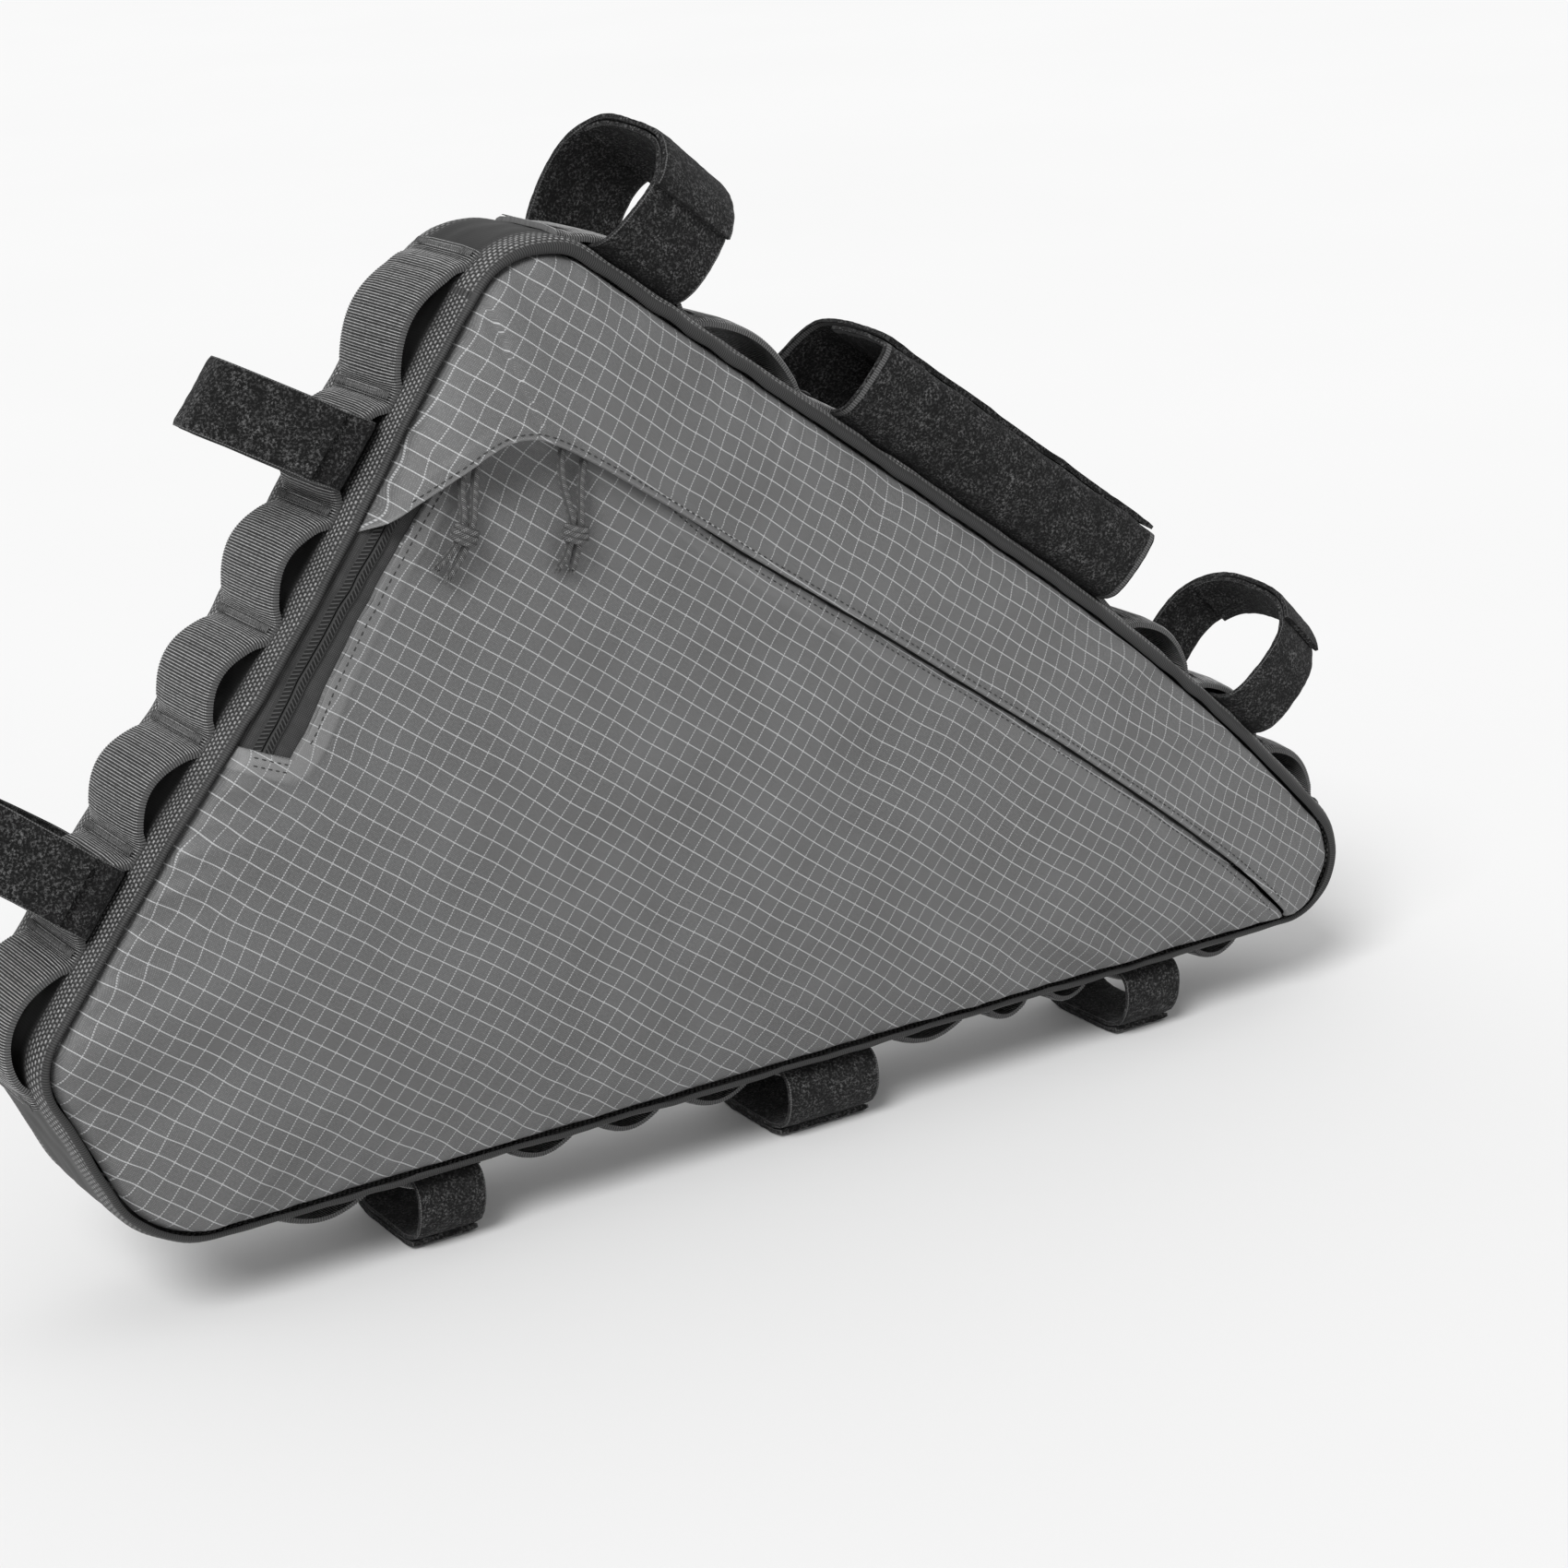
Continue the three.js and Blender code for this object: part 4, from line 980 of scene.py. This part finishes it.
def strip(name, left, right, top, bottom, columns, material, slot, node, crown=0.0, groove=0.0):
    """A band along the zipper's line between two heights over the panel."""
    side = np.linspace(-left, right, columns)
    spot = np.stack([beside(COIL, s) for s in side], 1)
    uv = grid(run_of(COIL), side)
    share = side / max(left, right)
    shape = crown * (1 - share ** 2) - groove * np.exp(-(side / 0.35) ** 2)
    low = slack(spot[..., 0], spot[..., 1])
    outer = front_point(spot[..., 0], spot[..., 1], top + shape[None] - low)
    inner = front_point(spot[..., 0], spot[..., 1], bottom - low)
    return place(shell(name, outer, inner, uv, material, sharp=70), slot, node)


def add_zipper():
    strip("zipper_tape_cloth", TAPE_LEFT, TAPE_RIGHT, TAPE_TOP, TAPE_TOP - 0.8, 23, TAPE, "tape",
          "zipper_tape")
    strip("zipper_chain", CHAIN_HALF, CHAIN_HALF, TAPE_TOP + 0.75, TAPE_TOP + 0.1, 31, CHAIN, "coil",
          "zipper_coil", crown=0.55, groove=0.9)


def stitch_row(name, line, height, pitch=STITCH_PITCH, length=STITCH_LENGTH):
    """Stitches along a flat line; height(along, up) is the cloth's over the panel."""
    way = run_of(line)
    at = np.arange(pitch, way[-1] - pitch, pitch)

    def spot(w):
        a, u = np.interp(w, way, line[:, 0]), np.interp(w, way, line[:, 1])
        return front_point(a, u, height(a, u))

    starts, ends = spot(at), spot(at + length)
    normals = np.tile([0.0, -1.0, 0.0], (len(at), 1))
    place(threads(name, starts, ends, normals, STITCH_RADIUS, SEAM_THREAD), "ripstop")


def flap_height(a, u):
    """Height of the flap's hem over the panel."""
    gap = np.linalg.norm(np.stack([a, u], -1)[:, None] - FREE_EDGE[None], axis=-1)
    i = gap.argmin(1)
    away = gap[np.arange(len(i)), i]
    width = FLAP_WIDTH[i, 0]
    share = np.clip(away / width.clip(1), 0, 1)
    return flap_rise(FREE_EDGE[i]) * (1 - share ** FLAP_FALL) + FOLD + flap_wobble(a + u, away, width)


def add_stitching():
    line = beside(FREE_EDGE, -2.1)[12:-10]
    stitch_row("flap_stitches", resample(line, 800), flap_height)
    line = beside(resample(FOLDED, 500), 2.3)[4:-8]
    stitch_row("lower_edge_stitches", resample(line, 800), lambda a, u: HEM_HEIGHT)
    along = (HEM[1] - HEM[0]) / np.linalg.norm(HEM[1] - HEM[0])
    down = np.array([along[1], -along[0]])
    for k, drop in enumerate((1.9, 4.4)):
        ends = [HEM[0] + along * 1.5 + down * drop, HEM[1] + along * 0.5 + down * drop]
        line = resample(np.stack(ends), 60)
        stitch_row(f"zip_end_stitches_{k + 1}", line, lambda a, u: HEM_HEIGHT, 2.3, 1.5)


add_zipper()
add_stitching()


def add_slider(which, share):
    """A slider's body and bridge, at a share of the zipper's line."""
    way = np.linspace(0, 1, len(COIL))
    centre = np.array([np.interp(share, way, COIL[:, k]) for k in range(2)])
    ahead = np.array([np.interp(share + 0.01, way, COIL[:, k]) for k in range(2)])
    t = (ahead - centre) / np.linalg.norm(ahead - centre)
    s = np.array([t[1], -t[0]])
    base = TAPE_TOP + SLIDER_RISE
    outline = [(-5.5, -2.3), (-3.4, -3.9), (1.2, -3.4), (4.0, -2.5), (5.5, -1.2), (5.5, 1.2), (4.0, 2.5),
               (1.2, 3.4), (-3.4, 3.9), (-5.5, 2.3), (-4.4, 0.0)]
    ring = catmull(outline, 64, closed=True)[:-1]
    levels = [(0.0, 0.96), (0.25, 1.0), (1.1, 1.0), (1.4, 0.93), (1.5, 0.8), (1.38, 0.3)]
    verts = []
    for height, size in levels:
        flat = centre + ring[:, :1] * size * t + ring[:, 1:] * size * s
        verts.append(front_point(flat[:, 0], flat[:, 1], base + height - slack(*centre)))
    verts = world(np.array(verts).reshape(-1, 3))
    quads, caps = loft(len(levels), len(ring))
    faces = quads.tolist() + caps.tolist()
    body = new_object(f"slider_{which}_body", verts, faces, METAL, None, 35)
    place(body, "slider", f"zipper_slider_{which}")
    a = np.linspace(0, math.pi, 24)
    flat = centre + (np.cos(a) * 3.0)[:, None] * t
    bridge = front_point(flat[:, 0], flat[:, 1], base + 1.2 + 1.5 * np.sin(a) - slack(*centre))
    place(tube(f"slider_{which}_bridge", bridge, 0.55, 10, METAL), "slider")


for which, share in SLIDERS.items():
    add_slider(which, share)

# Webbing: height of the arches, and the tacks between them as shares of the edge's run

WEBBINGS = {
    "seat": (9.0, [0.052, 0.2, 0.32, 0.442, 0.561, 0.681, 0.788, 0.925]),
    "top": (7.5, [0.045, 0.163, 0.28, 0.636, 0.727, 0.824, 0.905]),
    "down": (7.0, [0.081, 0.166, 0.249, 0.318, 0.385, 0.455, 0.555, 0.636, 0.69, 0.744, 0.823, 0.883]),
}
WEB_WIDTH, WEB_THICKNESS, TACK_LENGTH, ARCH_ROUND, HUG = 42.0, 1.8, 3.6, 0.95, 1.2
TACK_STEP, TACK_HALF, TACK_RADIUS = 0.62, 1.6, 0.22


def add_webbing(edge):
    arch, shares = WEBBINGS[edge]
    tacks = np.array(shares) * RUN[edge]
    half = TACK_LENGTH / 2
    distance = np.arange(tacks[0] - half, tacks[-1] + half, 0.22)
    height = np.zeros_like(distance)
    for a, b in zip(tacks[:-1], tacks[1:]):
        span = b - a - TACK_LENGTH
        s = (distance - a - half) / span
        inside = (s > 0) & (s < 1)
        h = arch * np.sin(np.pi * s[inside]) ** ARCH_ROUND
        height[inside] = h * ease(np.minimum(s[inside], 1 - s[inside]) * span, -1.0, 5.0)
    along, up, na, nu, rise = seam_at(way_on(edge, distance))
    off = rise + SEAM_GAP + height
    line = np.stack([along + na * off, up + nu * off], -1)
    run = run_of(line)
    at = np.linspace(0, run[-1], int(run[-1] / 0.25))
    line = resample(line, len(at))
    way = heading(line)
    normal = np.stack([-way[:, 1], way[:, 0]], -1)
    out = np.stack([np.interp(at, run, na), np.interp(at, run, nu)], -1)
    normal *= np.sign((normal * out).sum(1))[:, None]
    y = np.array([-1, -0.985, -0.9, -0.5, 0, 0.5, 0.9, 0.985, 1]) * WEB_WIDTH / 2
    rib = 0.18 * np.sin(2 * np.pi * at / RIB_PITCH)
    slim = np.array([0.3, 0.1, 0, 0, 0, 0, 0, 0.1, 0.3])
    sway = 0.45 * noise1(at, 24, 100 + len(edge))

    def points(depth, sign):
        off = depth + sign * (rib[:, None] - slim[None] * 1.4) - HUG * (np.abs(y[None]) / 20) ** 6
        p = line[:, None] + normal[:, None] * off[..., None]
        yy = np.broadcast_to(y[None] + sway[:, None] * 0.6, off.shape)
        return np.stack([p[..., 0], yy, p[..., 1]], -1)

    outer, inner = points(WEB_THICKNESS, 1.0), points(0.0, -0.4)
    uv = grid(at, y)
    band = shell(f"webbing_{edge}_band", outer, inner, uv, WEBBING, sharp=70)
    place(band, "webbing", f"webbing_{edge}")
    starts, ends, normals = [], [], []
    for tack in tacks:
        a, u, ta, tu, r = (float(v) for v in seam_at(way_on(edge, tack)))
        out3, run3 = np.array([ta, 0, tu]), np.array([tu, 0, -ta])
        base = np.array([a, 0, u]) + out3 * (r + SEAM_GAP + WEB_THICKNESS - 0.05)
        across = np.arange(-WEB_WIDTH / 2 + 1.0, WEB_WIDTH / 2 - 1.0, TACK_STEP)
        side = np.where(np.arange(len(across)) % 2 == 0, 1.0, -1.0) * TACK_HALF
        pts = base + across[:, None] * np.array([0, 1.0, 0]) + side[:, None] * run3
        starts.extend(pts[:-1])
        ends.extend(pts[1:])
        normals.extend([out3] * (len(pts) - 1))
    stitches = threads(f"webbing_{edge}_tacks", starts, ends, normals, TACK_RADIUS, TACK_THREAD)
    place(stitches, "webbing")


for edge in WEBBINGS:
    add_webbing(edge)

# Straps: forms of their loops as shares of half the depth and of the height

ROUND = [(-0.74, 0), (-0.95, 0.09), (-1, 0.38), (-0.88, 0.72), (-0.52, 0.95), (0, 1), (0.52, 0.95),
         (0.88, 0.72), (1, 0.38), (0.95, 0.09), (0.74, 0)]
FOOT = [(-0.74, 0), (-0.96, 0.14), (-1, 0.5), (-0.84, 0.86), (-0.5, 1), (0, 1), (0.5, 1), (0.84, 0.86),
        (1, 0.5), (0.96, 0.14), (0.74, 0)]
PINCHED = [(-0.74, 0), (-0.9, 0.09), (-0.78, 0.36), (-0.44, 0.74), (-0.1, 1), (0.1, 1), (0.46, 0.74),
           (0.82, 0.36), (0.92, 0.09), (0.74, 0)]
HOUSE = [(-0.66, 0), (-0.88, 0.09), (-1, 0.4), (-1.03, 0.8), (-0.99, 1.0), (-0.9, 1.03), (-0.35, 1.08),
         (0.2, 1.06), (0.5, 0.98), (0.78, 0.6), (0.95, 0.14), (0.7, 0)]
STRAPS = {  # edge, at, width, height, depth, form, twist, droop, lap_from, lap_to
    "top_rear": ("top", 0.105, 38, 54, 62, ROUND, 14, 0, 0.3, 0.62),
    "top_wide": ("top", 0.455, 143, 41, 68, HOUSE, 0, 0, 0.36, 0.56),
    "top_front": ("top", 0.778, 25, 58, 69, ROUND, 8, 0, 0.36, 0.64),
    "seat_upper": ("seat", 0.265, 25, 55, 62, PINCHED, 0, 0.14, 0.22, 0.6),
    "seat_lower": ("seat", 0.734, 25, 55, 62, PINCHED, 0, 0, 0.22, 0.6),
    "down_rear": ("down", 0.2077, 25, 33, 62, FOOT, 0, 0, 0.36, 0.66),
    "down_middle": ("down", 0.505, 38, 33, 62, FOOT, 0, 0, 0.36, 0.66),
    "down_front": ("down", 0.7835, 25, 33, 62, FOOT, 0, 0, 0.36, 0.66),
}
STRAP_THICKNESS = 2.0
LAP = STRAP_THICKNESS + SEAM_GAP
LAP_START = 0.14
LOOP_STEPS, STRAP_STEP = 1201, 1.1


def add_strap(name, number):
    """One band bent to a closed loop, whose end lies over its start."""
    edge, at, width, height, depth, form, twist, droop, lap_from, lap_to = STRAPS[name]
    a, u, na, nu, rise = (float(v) for v in seam_at(way_on(edge, at * RUN[edge]), bowed=False))
    base = rise + SEAM_GAP + STRAP_THICKNESS / 2
    half_depth = (depth - STRAP_THICKNESS) / 2 - LAP
    rows = np.array([(0, 0), *form], float)
    tallest = rows[:, 1].max()
    tall = (height - STRAP_THICKNESS / 2 - LAP - base) / tallest
    loop = catmull(rows * [half_depth, tall], LOOP_STEPS, closed=True)
    loop[:, 1] = np.clip(loop[:, 1], 0, tallest * tall)
    girth = length_of(loop)
    turns = 1 + lap_to - lap_from
    count = int(turns * girth / STRAP_STEP)
    share = lap_to - turns * np.linspace(0, 1, count)
    table = np.linspace(0, 1, LOOP_STEPS)

    def point_at(s):
        return np.stack([np.interp(np.mod(s, 1), table, loop[:, k]) for k in range(2)], -1)

    point = point_at(share)
    way = point_at(share + 0.006) - point_at(share - 0.006)
    way /= np.linalg.norm(way, axis=1)[:, None]
    lap = LAP * ease(-share, LAP_START, 1 - lap_to)
    normal = np.stack([-way[:, 1], way[:, 0]], -1)
    columns = 15 if width < 60 else 49
    side = np.linspace(-0.5, 0.5, columns)
    run = np.linspace(0, turns * girth, count)
    wave = 0.3 * noise2(run[:, None], side[None] * width, 11, 200 + number)
    rough = 0.16 * noise2(run[:, None] + 3, side[None] * width, 1.6, 300 + number)
    if name.startswith("down"):
        wave = wave * ease(loop[:, 1].max() - point[:, 1], 2, 10)[:, None]
    thin = 0.35 * np.exp(-(0.5 - np.abs(side)) * width / 0.5)

    def points(sign):
        off = lap[:, None] + sign * (STRAP_THICKNESS / 2 - thin[None]) + wave + sign * rough
        flat = point[:, None] + normal[:, None] * off[..., None]
        angle = math.radians(twist) * np.clip(flat[..., 1] / (tallest * tall), 0, 1)
        aside = (side * width)[None] + 0.35 * noise1(run, 17, 400 + number)[:, None]
        sway = aside * np.cos(angle) - flat[..., 0] * np.sin(angle) - droop * flat[..., 1]
        y = flat[..., 0] * np.cos(angle) + aside * np.sin(angle)
        out = base + flat[..., 1]
        if name.startswith("down"):
            out = np.minimum(out, height)
        return np.stack([a + na * out + nu * sway, y, u + nu * out - na * sway], -1)

    uv = grid(run, np.abs(side) * 2)
    band = shell(f"strap_{name}_band", points(1.0), points(-1.0), uv, NAP, sharp=75)
    place(band, "hook_loop", f"strap_{name}")


for number, name in enumerate(STRAPS):
    add_strap(name, number)

# Floor and light

WHITE, SUN, SUN_FROM, SUN_ANGLE = 0.74, 2.3, (-0.62, -0.46, 0.80), 26
FLOOR_HALF, PAPER = 40.0, ((0.745,) * 3, (0.755,) * 3)


def add_stage():
    floor = Nodes("floor_paper", 0.95, specular=0.0)
    floor.color(floor.mix(floor.ramp(floor.noise(floor.where(), 2.0), 0.3, 0.7), *PAPER))
    corners = [(-1, -1, 0), (1, -1, 0), (1, 1, 0), (-1, 1, 0)]
    verts = np.array(corners, float) * FLOOR_HALF
    obj = new_object("floor", verts, [[0, 1, 2, 3]], floor.material)
    world_data = bpy.data.worlds.new("studio")
    world_data.use_nodes = True
    sky = world_data.node_tree.nodes["Background"]
    sky.inputs[0].default_value = (1, 1, 1, 1)
    sky.inputs[1].default_value = WHITE
    bpy.context.scene.world = world_data
    bpy.context.scene.view_settings.view_transform = "Standard"
    data = bpy.data.lights.new("key", "SUN")
    data.energy = SUN
    data.angle = math.radians(SUN_ANGLE)
    lamp = bpy.data.objects.new("key", data)
    lamp.rotation_euler = Vector(SUN_FROM).to_track_quat("Z", "Y").to_euler()
    bpy.context.scene.collection.objects.link(lamp)


add_stage()
